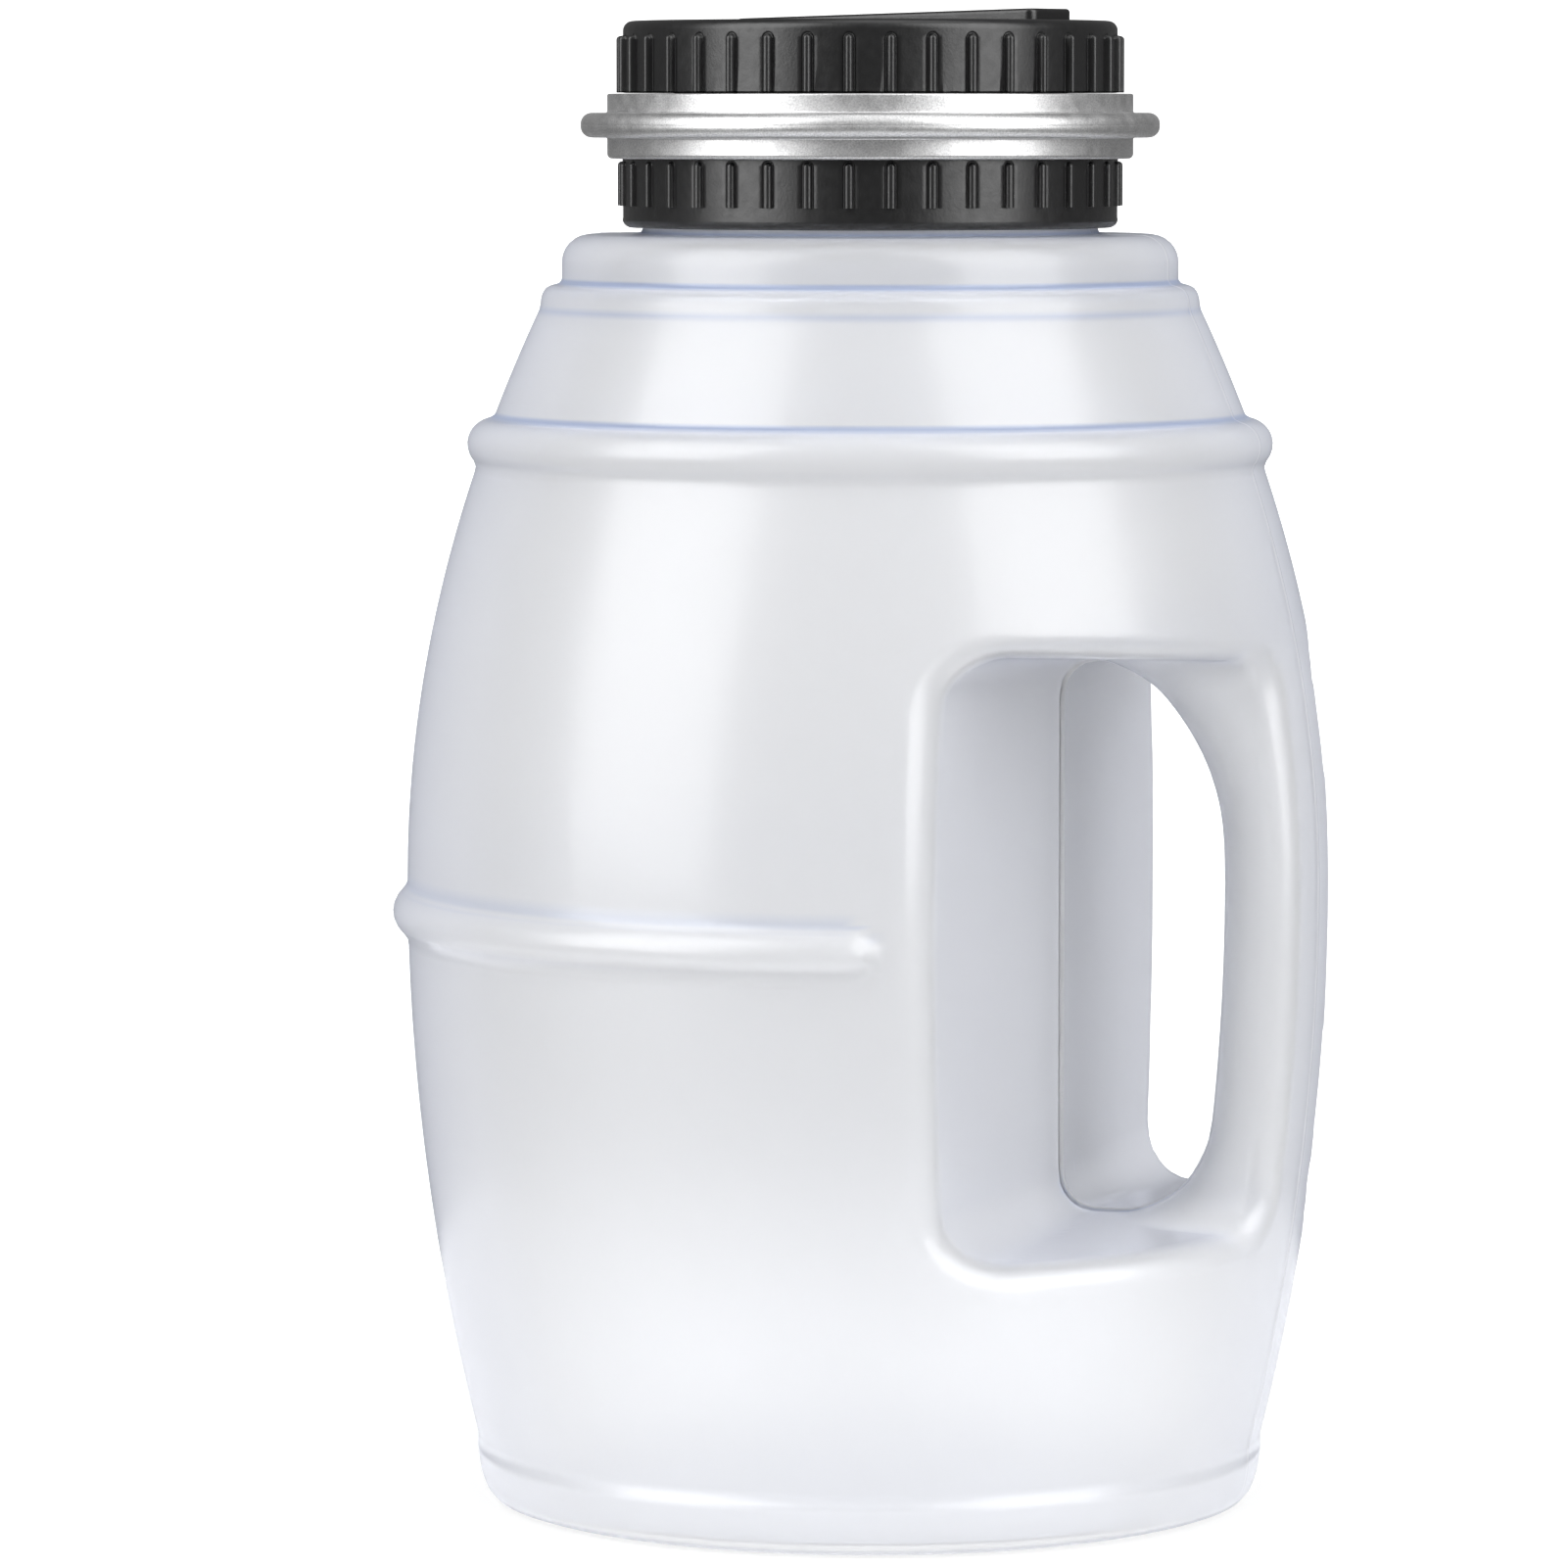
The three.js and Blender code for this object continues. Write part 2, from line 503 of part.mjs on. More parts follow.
function displayFrame() {
  const [low, high] = [BOARD.high + 0.1, CAP.high - CAP.top - 1.2];
  const frame = atWindow(24.7, -10.4, 10.4, low, high);
  const seat = atWindow(23.7, -9.2, 9.2, low + 2.2, high + 1);
  const strip = atWindow(20.4, 5.2, 8.2, low - 1, low + 3);
  return cut(frame, seat, strip).intersect(disc(CAP.radius - CAP.wall - GAP, low - 1, high + 1, 0, 0, 48));
}

function button(side) {
  const u = side * BUTTON.u;
  const under = CAP.high - CAP.top;
  const body = join(
    disc(BUTTON.radius, under - 0.4, BUTTON.top, u, BUTTON.w, 32),
    disc(BUTTON.flange, under - 1.4, under - 0.2, u, BUTTON.w, 32),
    disc(1.5, under - 2.6, under - 1, u, BUTTON.w, 16),
  );
  const bar = (a, b) => box(u - a, u + a, BUTTON.w - b, BUTTON.w + b, BUTTON.top - 0.35, BUTTON.top + 1);
  return side > 0 ? cut(body, bar(2.6, 0.55)) : cut(body, bar(2.4, 0.48), bar(0.48, 2.4));
}

function buttonSwitch(side) {
  const u = side * BUTTON.u;
  const low = BOARD.high + 0.1;
  return join(
    box(u - 3, u + 3, BUTTON.w - 3, BUTTON.w + 3, low, low + 2.4),
    disc(1.6, low + 2, low + 3, u, BUTTON.w, 16),
  );
}

// ---------------------------------------------------------------- materials and the assembly
const plastic = (color, roughness, more = {}) =>
  new THREE.MeshStandardMaterial({ color, roughness, metalness: 0, ...more });
const metal = (color, roughness) => new THREE.MeshStandardMaterial({ color, roughness, metalness: 1 });
const MATERIAL = {
  jar: plastic(0xdfe4ee, 0.25, { transparent: true, opacity: 0.4 }),
  black: plastic(0x2c2c2d, 0.55),
  silver: metal(0xc8c9ca, 0.35),
  clear: plastic(0xf2f6f4, 0.05, { transparent: true, opacity: 0.3 }),
  display: plastic(0xc3d2c8, 0.3),
  white: plastic(0xe8e8e4, 0.5),
  grey: plastic(0x9b9c9a, 0.4),
  rubber: plastic(0xd8d8d4, 0.8),
  board: plastic(0x1f6b3a, 0.5),
  chip: plastic(0x101010, 0.3),
  steel: metal(0xb5b7ba, 0.3),
  nickel: metal(0xcfcab8, 0.25),
  cell: plastic(0x2f5f9e, 0.35),
  redWire: plastic(0xb32020, 0.5),
  blackWire: plastic(0x151515, 0.5),
};

function piece(name, shape, material) {
  const mesh = new THREE.Mesh(geometryOf(shape), material);
  mesh.name = name;
  return mesh;
}

const jar = new THREE.Group();
jar.add(piece("jar_body", jarBody(), MATERIAL.jar));

const lid = new THREE.Group();
lid.rotation.z = LID_TURN;
const under = CAP.high - CAP.top;
const gasketHigh = COLLAR.high - FLANGE.thick - 0.1;
lid.add(
  piece("threaded_collar", threadedCollar(), MATERIAL.black),
  piece("sealing_gasket", tube(GASKET.inner, GASKET.outer, NECK.top + 0.1, gasketHigh), MATERIAL.rubber),
  piece("silver_ring", silverRing(), MATERIAL.silver),
  piece("top_cap", topCap(), MATERIAL.black),
  piece("slot_plate", slotPlate(), MATERIAL.black),
  piece("display_window", atWindow(23, -8, 8, under - 1.05, under - 0.05), MATERIAL.clear),
  piece("display_panel", atWindow(23.4, -8.9, 8.9, under - 4, under - 1.2), MATERIAL.display),
  piece("display_frame", displayFrame(), MATERIAL.white),
  piece("display_connector", atWindow(20, 5.6, 7.8, BOARD.high + 0.1, under - 4.1), MATERIAL.rubber),
  piece("plus_button", button(-1), MATERIAL.black),
  piece("minus_button", button(1), MATERIAL.black),
  piece("plus_switch", buttonSwitch(-1), MATERIAL.steel),
  piece("minus_switch", buttonSwitch(1), MATERIAL.steel),
  piece("circuit_board", circuitBoard(), MATERIAL.board),
  piece("counter_chip", disc(4.6, BOARD.low - 1.6, BOARD.low - 0.1, -4, 6, 24), MATERIAL.chip),
  piece("inner_housing", innerHousing(), MATERIAL.black),
);

// The coin lever hangs in the chute on its pin, with a torsion spring on the pin's free end.
const leverSpring = coil(0, 0, 0, 1.5, 1.5, 0.62, 3, 0.22).rotateX(Math.PI / 2);
const chuteSide = SLOT.w - CHUTE.width / 2 - HOUSING.wall;
lid.add(
  piece("coin_lever", coinLever(), MATERIAL.grey),
  piece("lever_nose", leverNose(), MATERIAL.black),
  piece("lever_pin", rod(LEVER.pin, chuteSide - 3, SLOT.w + 3, LEVER.u, LEVER.z, 16), MATERIAL.steel),
  piece("lever_spring", solid(leverSpring.translate(LEVER.u, chuteSide - 0.5, LEVER.z)), MATERIAL.steel),
);

// Power: two AAA cells nose to tail, their contacts, the leads up to the board, and the screwed door.
const [nearRow, farRow] = BATTERY.rows;
lid.add(
  piece("battery_1", battery(nearRow, false), MATERIAL.cell),
  piece("battery_2", battery(farRow, true), MATERIAL.cell),
  piece("negative_spring_1", contactSpring(nearRow, -1), MATERIAL.nickel),
  piece("negative_spring_2", contactSpring(farRow, 1), MATERIAL.nickel),
  piece("positive_contact", contactPlate(1, nearRow - 4, nearRow + 4), MATERIAL.nickel),
  piece("spring_contact", contactPlate(1, farRow - 4, farRow + 4), MATERIAL.nickel),
  piece("bridge_contact", contactPlate(-1, nearRow - 4, farRow + 4), MATERIAL.nickel),
  piece("positive_lead", wire(LEADS.positive, LEADS.radius, 8), MATERIAL.redWire),
  piece("negative_lead", wire(LEADS.negative, LEADS.radius, 8), MATERIAL.blackWire),
  piece("battery_door", batteryDoor(), MATERIAL.black),
  piece("door_screw", screw(0, DOOR_SCREW.w, HOUSING.low - 1.3, 7), MATERIAL.steel),
  ...SCREWS.map(([u, w], i) =>
    piece(`housing_screw_${i + 1}`, screw(u, w, HOUSING.plateLow - 1.3, 6), MATERIAL.steel)),
);

const coinJar = new THREE.Group();
coinJar.add(jar, lid);
export default coinJar;
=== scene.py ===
"""The looks of the digital coin counting jar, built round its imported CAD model.

Shapes are worked out in millimetres and turned into metres when a mesh is made. The jar and the small pieces on
the lid are solids of distance fields, so that every fillet is a real one: surface_net() finds a field's zero
surface on a grid, and settle() then moves each vertex onto it. The lid's round shells are turned, with ribs and
thread standing out of the turned shape. Pieces that only need finer edges start from their CAD nodes.
"""
import math

import bmesh
import bpy
import numpy as np
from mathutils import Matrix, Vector
from mathutils.geometry import delaunay_2d_cdt


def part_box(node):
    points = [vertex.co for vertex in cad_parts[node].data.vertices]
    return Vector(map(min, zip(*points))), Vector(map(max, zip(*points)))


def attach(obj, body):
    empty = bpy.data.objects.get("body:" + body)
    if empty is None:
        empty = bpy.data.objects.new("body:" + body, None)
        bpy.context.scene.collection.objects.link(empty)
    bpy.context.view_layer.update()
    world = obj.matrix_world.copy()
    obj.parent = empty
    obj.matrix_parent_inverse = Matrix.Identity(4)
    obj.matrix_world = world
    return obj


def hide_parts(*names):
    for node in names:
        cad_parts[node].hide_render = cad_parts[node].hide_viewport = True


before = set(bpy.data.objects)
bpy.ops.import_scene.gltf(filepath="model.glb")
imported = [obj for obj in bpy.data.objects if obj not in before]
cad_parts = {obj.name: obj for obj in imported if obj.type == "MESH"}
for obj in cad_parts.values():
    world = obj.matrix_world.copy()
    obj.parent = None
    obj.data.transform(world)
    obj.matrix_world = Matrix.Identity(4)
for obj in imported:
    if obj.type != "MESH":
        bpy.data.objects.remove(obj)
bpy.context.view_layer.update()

MM = 0.001


def edges_mm(node):
    """A CAD node's lowest and highest corners in millimetres."""
    low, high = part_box(node)
    return np.array(low) / MM, np.array(high) / MM


# ---------------------------------------------------------------- distance fields, in millimetres
def round_max(a, b, radius):
    """The intersection of two fields, with a fillet along their edge."""
    outside = np.hypot(np.maximum(a + radius, 0), np.maximum(b + radius, 0))
    return np.minimum(np.maximum(a, b), -radius) + outside


def round_min(a, b, radius):
    return -round_max(-a, -b, radius)


def box_2d(a, b, corner):
    """A rectangle's field from how far a point is past its sides each way, with round corners."""
    a, b = a + corner, b + corner
    return np.hypot(np.maximum(a, 0), np.maximum(b, 0)) + np.minimum(np.maximum(a, b), 0) - corner


def ellipsoid(place, reach):
    """The field of an ellipse or ellipsoid, from coordinates about its centre and as many half axes."""
    near = np.sqrt(sum((a / b) ** 2 for a, b in zip(place, reach)))
    steep = np.sqrt(sum((a / b**2) ** 2 for a, b in zip(place, reach)))
    return near * (near - 1) / np.maximum(steep, 1e-6)


def lerp(a, b, t):
    return a + (b - a) * t


def bell(distance, width):
    return np.exp(-((distance / width) ** 2))


# ---------------------------------------------------------------- from a field to a mesh
def gradient(field, points, step=0.02):
    slopes = [field(points + step * axis) - field(points - step * axis) for axis in np.eye(3)]
    return np.stack(slopes, 1) / (2 * step)


def settle(field, points, rounds=5, longest=0.6):
    """Moves points along the field's slope until they lie on its zero surface."""
    for _ in range(rounds):
        slope = gradient(field, points)
        move = slope * (field(points) / np.maximum((slope**2).sum(1), 0.05))[:, None]
        length = np.linalg.norm(move, axis=1, keepdims=True)
        points = points - move * np.minimum(1, longest / np.maximum(length, 1e-9))
    return points


def surface_net(field, axes, place=None, wrap=None):
    """Vertices and quads round the zero surface of a field, on the grid of three rising lists of coordinates.

    place() turns grid coordinates into points, and wrap is the axis that joins up with itself.
    """
    place = place or (lambda grid: grid)
    shape = [len(axis) for axis in axes]
    points = place(np.stack(np.meshgrid(*axes, indexing="ij"), -1).reshape(-1, 3))
    values = field(points).reshape(shape)
    points = points.reshape(*shape, 3)
    cells = [n if i == wrap else n - 1 for i, n in enumerate(shape)]

    def corner(array, offset, index):
        return array[tuple((index[i] + offset[i]) % shape[i] for i in range(3))]

    every = np.indices(cells)
    corners = [(i, j, k) for i in (0, 1) for j in (0, 1) for k in (0, 1)]
    inside = sum((corner(values, c, every) < 0).astype(np.int8) for c in corners)
    index = np.nonzero((inside > 0) & (inside < 8))
    number = np.full(cells, -1)
    number[index] = np.arange(len(index[0]))

    total = np.zeros((len(index[0]), 3))
    count = np.zeros(len(index[0]))
    for axis in range(3):
        for start in corners:
            if start[axis]:
                continue
            end = tuple(v + (i == axis) for i, v in enumerate(start))
            a, b = corner(values, start, index), corner(values, end, index)
            crossed = (a < 0) != (b < 0)
            t = np.where(crossed, a / np.where(crossed, a - b, 1), 0)[:, None]
            where = lerp(corner(points, start, index), corner(points, end, index), t)
            total += where * crossed[:, None]
            count += crossed
    vertices = total / count[:, None]

    quads = []
    for axis in range(3):
        b, c = (axis + 1) % 3, (axis + 2) % 3
        reach = [n if i == wrap else n - (i == axis) for i, n in enumerate(shape)]
        here = np.indices(reach).reshape(3, -1)
        ahead = here.copy()
        ahead[axis] = (ahead[axis] + 1) % shape[axis]
        low, high = values[tuple(here)] < 0, values[tuple(ahead)] < 0
        here, low = here[:, low != high], low[low != high]
        ring = []
        for db, dc in ((1, 1), (0, 1), (0, 0), (1, 0)):
            cell = here.copy()
            cell[b] -= db
            cell[c] -= dc
            valid = np.ones(len(low), bool)
            for i in range(3):
                if i == wrap:
                    cell[i] %= cells[i]
                else:
                    valid &= (cell[i] >= 0) & (cell[i] < cells[i])
            ring.append(np.where(valid, number[tuple(np.clip(cell[i], 0, cells[i] - 1) for i in range(3))], -1))
        quad = np.stack(ring, 1)
        quad[~low] = quad[~low][:, ::-1]
        quads.append(quad[(quad >= 0).all(1)])
    return vertices, np.concatenate(quads)


def unit(vectors):
    return vectors / np.maximum(np.linalg.norm(vectors, axis=1, keepdims=True), 1e-9)


# ---------------------------------------------------------------- pieces
def make_piece(name, vertices, faces, material, body, nodes=(), normals=None, turn=0.0):
    """A mesh piece from millimetres, turned about +Z, riding on a body and standing for CAD nodes."""
    c, s = math.cos(turn), math.sin(turn)
    spin = np.array([[c, s, 0], [-s, c, 0], [0, 0, 1]])
    mesh = bpy.data.meshes.new(name)
    mesh.from_pydata((np.asarray(vertices) @ spin * MM).tolist(), [], [list(map(int, f)) for f in faces])
    mesh.validate()
    for polygon in mesh.polygons:
        polygon.use_smooth = True
    if normals is not None:
        mesh.normals_split_custom_set_from_vertices((np.asarray(normals) @ spin).tolist())
    mesh.materials.append(material)
    piece = bpy.data.objects.new(name, mesh)
    bpy.context.scene.collection.objects.link(piece)
    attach(piece, body)
    if nodes:
        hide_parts(*nodes)
    return piece


# ---------------------------------------------------------------- the jar's shape, in millimetres
WALL = 1.5
BARREL = dict(radius=73.4, widest=99, upper=0.0026, lower=0.0014, low=1.5, high=192)  # two parabolas
FOOT = dict(radius=61.6, high=7.5, corner=6.2, fillet=2.5)
BAND_MID = dict(z=168, radius=59.7, bead=4.0, fillet=0.9)
BAND_TOP = dict(z=190.8, radius=49.6, bead=2.3, fillet=0.9)
BAND_LOW = dict(z=94, radius=71.7, bead=4.0, fillet=1.2, open_half_angle=math.radians(75.5))
SHOULDER = dict(radius=48.7, corner=4.4, low=180, high=201, fillet=1.2)
NECK = dict(radius=35.9, bore=34.3, low=190, top=218.5, fillet=1.0)
THREAD = dict(height=0.95, pitch=4.2, start=-0.1, turns=1.25, run_out=1 / 6, z=207.4, crest=0.275, foot=1.375)
HOLE = dict(inner=31.7, low=47.2, high=134.7, corner=6.0)  # the handle hole in the mould's parting plane
MOUTH = dict(inner=29.6, low=45.2, high=138.8, corner=9.0, depth=66)  # the same hole at the barrel's skin
GRIP = dict(inset=1.0, half_width=13.6, half_depth=13.0, flare=12.5, flare_from=104, foot=7.0, foot_to=62)
SEAM = dict(skin=0.1, skin_width=0.35, low=3, high=6, weld=0.5, weld_width=0.75)  # parting line, hole's weld
EDGE = 4.2  # fillet round the handle hole's mouths and along the grip
NOOK = 6.0  # fillet inside the hole, where the grip meets the barrel
CREASE_SHADE = dict(step=0.5, least=0.25, full=0.75, upward=0.25, low=15.5)  # which folds of the skin get a painted blue shade


def barrel_radius(z):
    curve = np.where(z > BARREL["widest"], BARREL["upper"], BARREL["lower"])
    return BARREL["radius"] - curve * (z - BARREL["widest"]) ** 2


def barrel_slope(z):
    curve = np.where(z > BARREL["widest"], BARREL["upper"], BARREL["lower"])
    return -2 * curve * (z - BARREL["widest"])


def thread_height(x, y, z):
    """How far the neck's thread stands out at a point of the neck."""
    lead = (z - THREAD["z"]) / THREAD["pitch"]
    angle = np.arctan2(y, x) / (2 * math.pi)
    turn = np.round(lead - angle) + angle
    along = np.clip(np.minimum(turn - THREAD["start"], THREAD["turns"] - turn) / THREAD["run_out"], 0, 1)
    off = np.abs(lead - turn) * THREAD["pitch"]
    across = np.clip((THREAD["foot"] - off) / (THREAD["foot"] - THREAD["crest"]), 0, 1)
    return THREAD["height"] * along * across


def barrel_field(x, y, z):
    """The barrel with its foot, beads and shoulder. The low bead stops short of the handle on both sides."""
    r = np.hypot(x, y)
    side = (r - barrel_radius(z)) / np.hypot(1, barrel_slope(z))
    body = np.maximum(side, np.maximum(z - BARREL["high"], BARREL["low"] - z))
    foot = np.maximum(box_2d(r - FOOT["radius"], -z, FOOT["corner"]), z - FOOT["high"])
    body = round_min(body, foot, FOOT["fillet"])
    for band in (BAND_MID, BAND_TOP):
        body = round_min(body, np.hypot(r - band["radius"], z - band["z"]) - band["bead"], band["fillet"])
    shoulder = box_2d(r - SHOULDER["radius"], z - SHOULDER["high"], SHOULDER["corner"])
    body = round_min(body, np.maximum(shoulder, SHOULDER["low"] - z), SHOULDER["fillet"])
    angle = np.abs(np.arctan2(y, x))
    past_end = np.maximum(BAND_LOW["open_half_angle"] - angle, 0) * BAND_LOW["radius"]
    ring = np.hypot(r - BAND_LOW["radius"], z - BAND_LOW["z"])
    return round_min(body, np.hypot(ring, past_end) - BAND_LOW["bead"], BAND_LOW["fillet"])


def hole_field(x, y, z):
    """The air in the handle hole: a tunnel along Y that narrows to the parting plane, less the grip."""
    beyond = 1.3  # its shapes go on changing this far past their ends
    t = np.minimum(np.abs(y) / MOUTH["depth"], beyond)
    inner, low, high, corner = (lerp(HOLE[key], MOUTH[key], t) for key in ("inner", "low", "high", "corner"))
    middle = (low + high) / 2
    tunnel = box_2d(inner - x, np.abs(z - middle) - (high - middle), corner)
    rise = np.clip((z - GRIP["flare_from"]) / (HOLE["high"] - GRIP["flare_from"]), 0, beyond)
    fall = np.clip((GRIP["foot_to"] - z) / (GRIP["foot_to"] - HOLE["low"]), 0, beyond)
    grown = GRIP["flare"] * rise**2.4 + GRIP["foot"] * fall**2
    centre = barrel_radius(z) - GRIP["inset"] - grown / 2
    grip = ellipsoid((x - centre, y), (GRIP["half_width"] + grown / 2, GRIP["half_depth"]))
    return round_max(tunnel, -grip, NOOK) + SEAM["weld"] * bell(y, SEAM["weld_width"])


def jar_field(p):
    x, y, z = p.T
    seam = SEAM["skin"] * np.clip((z - SEAM["low"]) / (SEAM["high"] - SEAM["low"]), 0, 1)
    barrel = barrel_field(x, y, z) - seam * bell(y, SEAM["skin_width"])
    neck = np.hypot(x, y) - NECK["radius"] - thread_height(x, y, z)
    neck = np.maximum(neck, NECK["low"] - z)
    return round_min(round_max(barrel, -hole_field(x, y, z), EDGE), neck, NECK["fillet"])


def jar_crease_shade(points, normals):
    """How sharply the skin folds inwards where it faces up, from 0 to 1: the mask of a painted blue shade in
    the creases.
    """
    step = CREASE_SHADE["step"]
    sides = [jar_field(points + sign * step * axis) for axis in np.eye(3) for sign in (-1, 1)]
    fold = (6 * jar_field(points) - sum(sides)) / step**2
    upward = np.clip(normals[:, 2] / CREASE_SHADE["upward"], 0, 1)
    sharp = np.clip((fold - CREASE_SHADE["least"]) / (CREASE_SHADE["full"] - CREASE_SHADE["least"]), 0, 1)
    return sharp * upward * (points[:, 2] > CREASE_SHADE["low"])


def jar_grid():
    """Grid lines of radius, angle and height, close together where the jar has fine features.

    Each of steps is a height and the step between the lines that lead up to it.
    """
    radii = np.concatenate([[2, 14, 24], np.arange(27, 80, 1.9)])
    near_seam = np.radians([-0.8, -0.5, -0.25, 0, 0.25, 0.5, 0.8])
    half = np.linspace(0, math.pi, 99)[1:-1]
    angles = np.sort(np.concatenate([near_seam, half, -half, near_seam + math.pi]))
    steps = [(-1, 1), (9, 1.2), (42, 3.0), (50, 1.6), (88, 2.8), (96.8, 1.1), (99, 0.5), (130, 2.8), (141, 1.5)]
    steps += [(162, 2.4), (170.6, 0.95), (172.7, 0.4), (174.5, 0.95), (187, 2.6), (192.2, 0.9), (194.4, 0.4)]
    steps += [(204, 0.8), (NECK["top"], 0.6)]
    heights = [np.array([steps[0][0]])]
    for (low, _), (high, step) in zip(steps, steps[1:]):
        count = max(1, round((high - low) / step))
        heights.append(np.linspace(low, high, count + 1)[1:])
    return radii, angles, np.concatenate(heights)


def around(grid):
    r, angle, z = grid.T
    return np.stack([r * np.cos(angle), r * np.sin(angle), z], 1)


# ---------------------------------------------------------------- materials
class Shader:
    """A material whose one Principled shader is fed by noise and other nodes in the object's own metres."""

    def __init__(self, name, **values):
        self.material = bpy.data.materials.new(name)
        self.material.use_nodes = True
        self.tree = self.material.node_tree
        self.surface = self.tree.nodes["Principled BSDF"]
        self.where = self.add("ShaderNodeTexCoord").outputs["Object"]
        for key, value in values.items():
            self.surface.inputs[key.replace("_", " ")].default_value = value

    def add(self, kind, links=None, **settings):
        node = self.tree.nodes.new(kind)
        for key, value in settings.items():
            setattr(node, key, value)
        for key, value in (links or {}).items():
            if hasattr(value, "is_output"):
                self.tree.links.new(value, node.inputs[key])
            else:
                node.inputs[key].default_value = value
        return node

    def noise(self, scale, detail=2.0, roughness=0.5, stretch=None):
        where = self.where
        if stretch:
            where = self.add("ShaderNodeMapping", {"Vector": where, "Scale": stretch}).outputs[0]
        links = {"Vector": where, "Scale": scale, "Detail": detail, "Roughness": roughness}
        return self.add("ShaderNodeTexNoise", links).outputs["Fac"]

    def ranged(self, value, low, high, start=0.3, end=0.7):
        links = {"Value": value, "From Min": start, "From Max": end, "To Min": low, "To Max": high}
        return self.add("ShaderNodeMapRange", links).outputs["Result"]

    def mixed(self, factor, a, b):
        node = self.add("ShaderNodeMix", data_type="RGBA")
        for socket, value in (("Factor_Float", factor), ("A_Color", a), ("B_Color", b)):
            target = next(s for s in node.inputs if s.identifier == socket)
            if hasattr(value, "is_output"):
                self.tree.links.new(value, target)
            else:
                target.default_value = value
        return next(s for s in node.outputs if s.identifier == "Result_Color")

    def feed(self, socket, value):
        self.tree.links.new(value, self.surface.inputs[socket])

    def paint(self, where, dark, light):
        """A base colour that goes from dark to light as where goes from 0 to 1."""
        self.feed("Base Color", self.mixed(where, dark, light))

    def paint_patches(self, scale, detail, dark, light):
        self.paint(self.ranged(self.noise(scale, detail), 0, 1), dark, light)

    def roughen(self, scale, detail, low, high):
        self.feed("Roughness", self.ranged(self.noise(scale, detail), low, high))

    def bump(self, height, distance, strength):
        """Bumps where height goes from 0 to 1, for a distance in metres."""
        links = {"Height": height, "Distance": distance, "Strength": strength}
        self.feed("Normal", self.add("ShaderNodeBump", links).outputs["Normal"])


def colour(red, green, blue):
    return (red, green, blue, 1.0)


def jar_plastic():
    """Frosted see-through plastic with a cold tint, deeper edge on, and a painted blue shade in its
    upward-facing creases.
    """
    shader = Shader("jar_plastic", IOR=1.36, Coat_Weight=0.38, Coat_Roughness=0.17)
    facing = shader.add("ShaderNodeLayerWeight", {"Blend": 0.35}).outputs["Facing"]
    edge_on = shader.ranged(facing, 0, 1, 0.3, 0.95)
    tint = shader.mixed(edge_on, colour(0.98, 0.985, 1.0), colour(0.7, 0.74, 0.88))
    # The crease attribute drives a painted shade: a darker blue laid where the skin folds inwards and faces up.
    crease = shader.add("ShaderNodeAttribute", attribute_name="crease").outputs["Fac"]
    crease_shaded = shader.mixed(crease, tint, colour(0.5, 0.59, 0.82))
    cloud = shader.ranged(shader.noise(9, 2), 0, 0.14)
    shader.paint(cloud, crease_shaded, colour(0.9, 0.92, 0.97))
    shader.feed("Transmission Weight", shader.ranged(facing, 0.87, 0.6, 0.3, 1))
    # Above the roughness at which the renderer's denoiser would look through the wall.
    shader.roughen(40, 2, 0.3, 0.35)
    shader.bump(shader.noise(1400, 1), 0.00002, 0.2)
    return shader.material


def grained_black():
    """Black moulded plastic with a fine spark-eroded grain."""
    shader = Shader("grained_black", Specular_IOR_Level=0.66)
    shader.paint_patches(45, 3, colour(0.0028, 0.0028, 0.0031), colour(0.0045, 0.0045, 0.0048))
    shader.roughen(700, 2, 0.3, 0.38)
    shader.bump(shader.noise(2300, 1, 0.5), 0.00004, 0.4)
    return shader.material


def plain_black():
    """Black plastic moulded against polished steel."""
    shader = Shader("plain_black", Specular_IOR_Level=0.35)
    shader.paint_patches(80, 3, colour(0.005, 0.005, 0.0055), colour(0.009, 0.009, 0.0095))
    shader.roughen(300, 3, 0.29, 0.36)
    shader.bump(shader.noise(1500, 2), 0.00003, 0.2)
    return shader.material


def silver_paint():
    """Satin silver paint: bright, with flakes that sparkle."""
    shader = Shader("silver_paint", Metallic=1.0)
    flakes = shader.ranged(shader.noise(3600, 2, 0.7), 0, 1, 0.35, 0.65)
    shader.paint(flakes, colour(0.6, 0.6, 0.605), colour(0.84, 0.84, 0.84))
    shader.roughen(400, 3, 0.38, 0.47)
    shader.bump(shader.noise(2800, 2, 0.6), 0.00005, 0.45)
    return shader.material


def moulded(name, dark, light, roughness, scale=60, **values):
    """Plain moulded plastic, rubber or sleeve in a slightly uneven colour."""
    shader = Shader(name, **values)
    shader.paint_patches(scale, 3, dark, light)
    shader.roughen(scale * 6, 2, roughness - 0.05, roughness + 0.05)
    shader.bump(shader.noise(scale * 25, 2), 0.00004, 0.3)
    return shader.material


def plated(name, dark, light, roughness):
    """Plated metal with fine drawing marks."""
    shader = Shader(name, Metallic=1.0)
    marks = shader.noise(900, 3, 0.6, stretch=(1, 1, 6))
    shader.paint(shader.ranged(marks, 0, 1), dark, light)
    shader.feed("Roughness", shader.ranged(marks, roughness - 0.06, roughness + 0.08))
    shader.bump(marks, 0.00002, 0.3)
    return shader.material


def window_plastic():
    """Clear moulded plastic with faint handling haze."""
    shader = Shader("clear_window", IOR=1.12, Transmission_Weight=1.0)
    haze = shader.noise(120, 3)
    shader.paint(shader.ranged(haze, 0, 1), colour(0.97, 0.99, 0.98), colour(0.93, 0.96, 0.94))
    shader.feed("Roughness", shader.ranged(haze, 0.01, 0.05))
    return shader.material


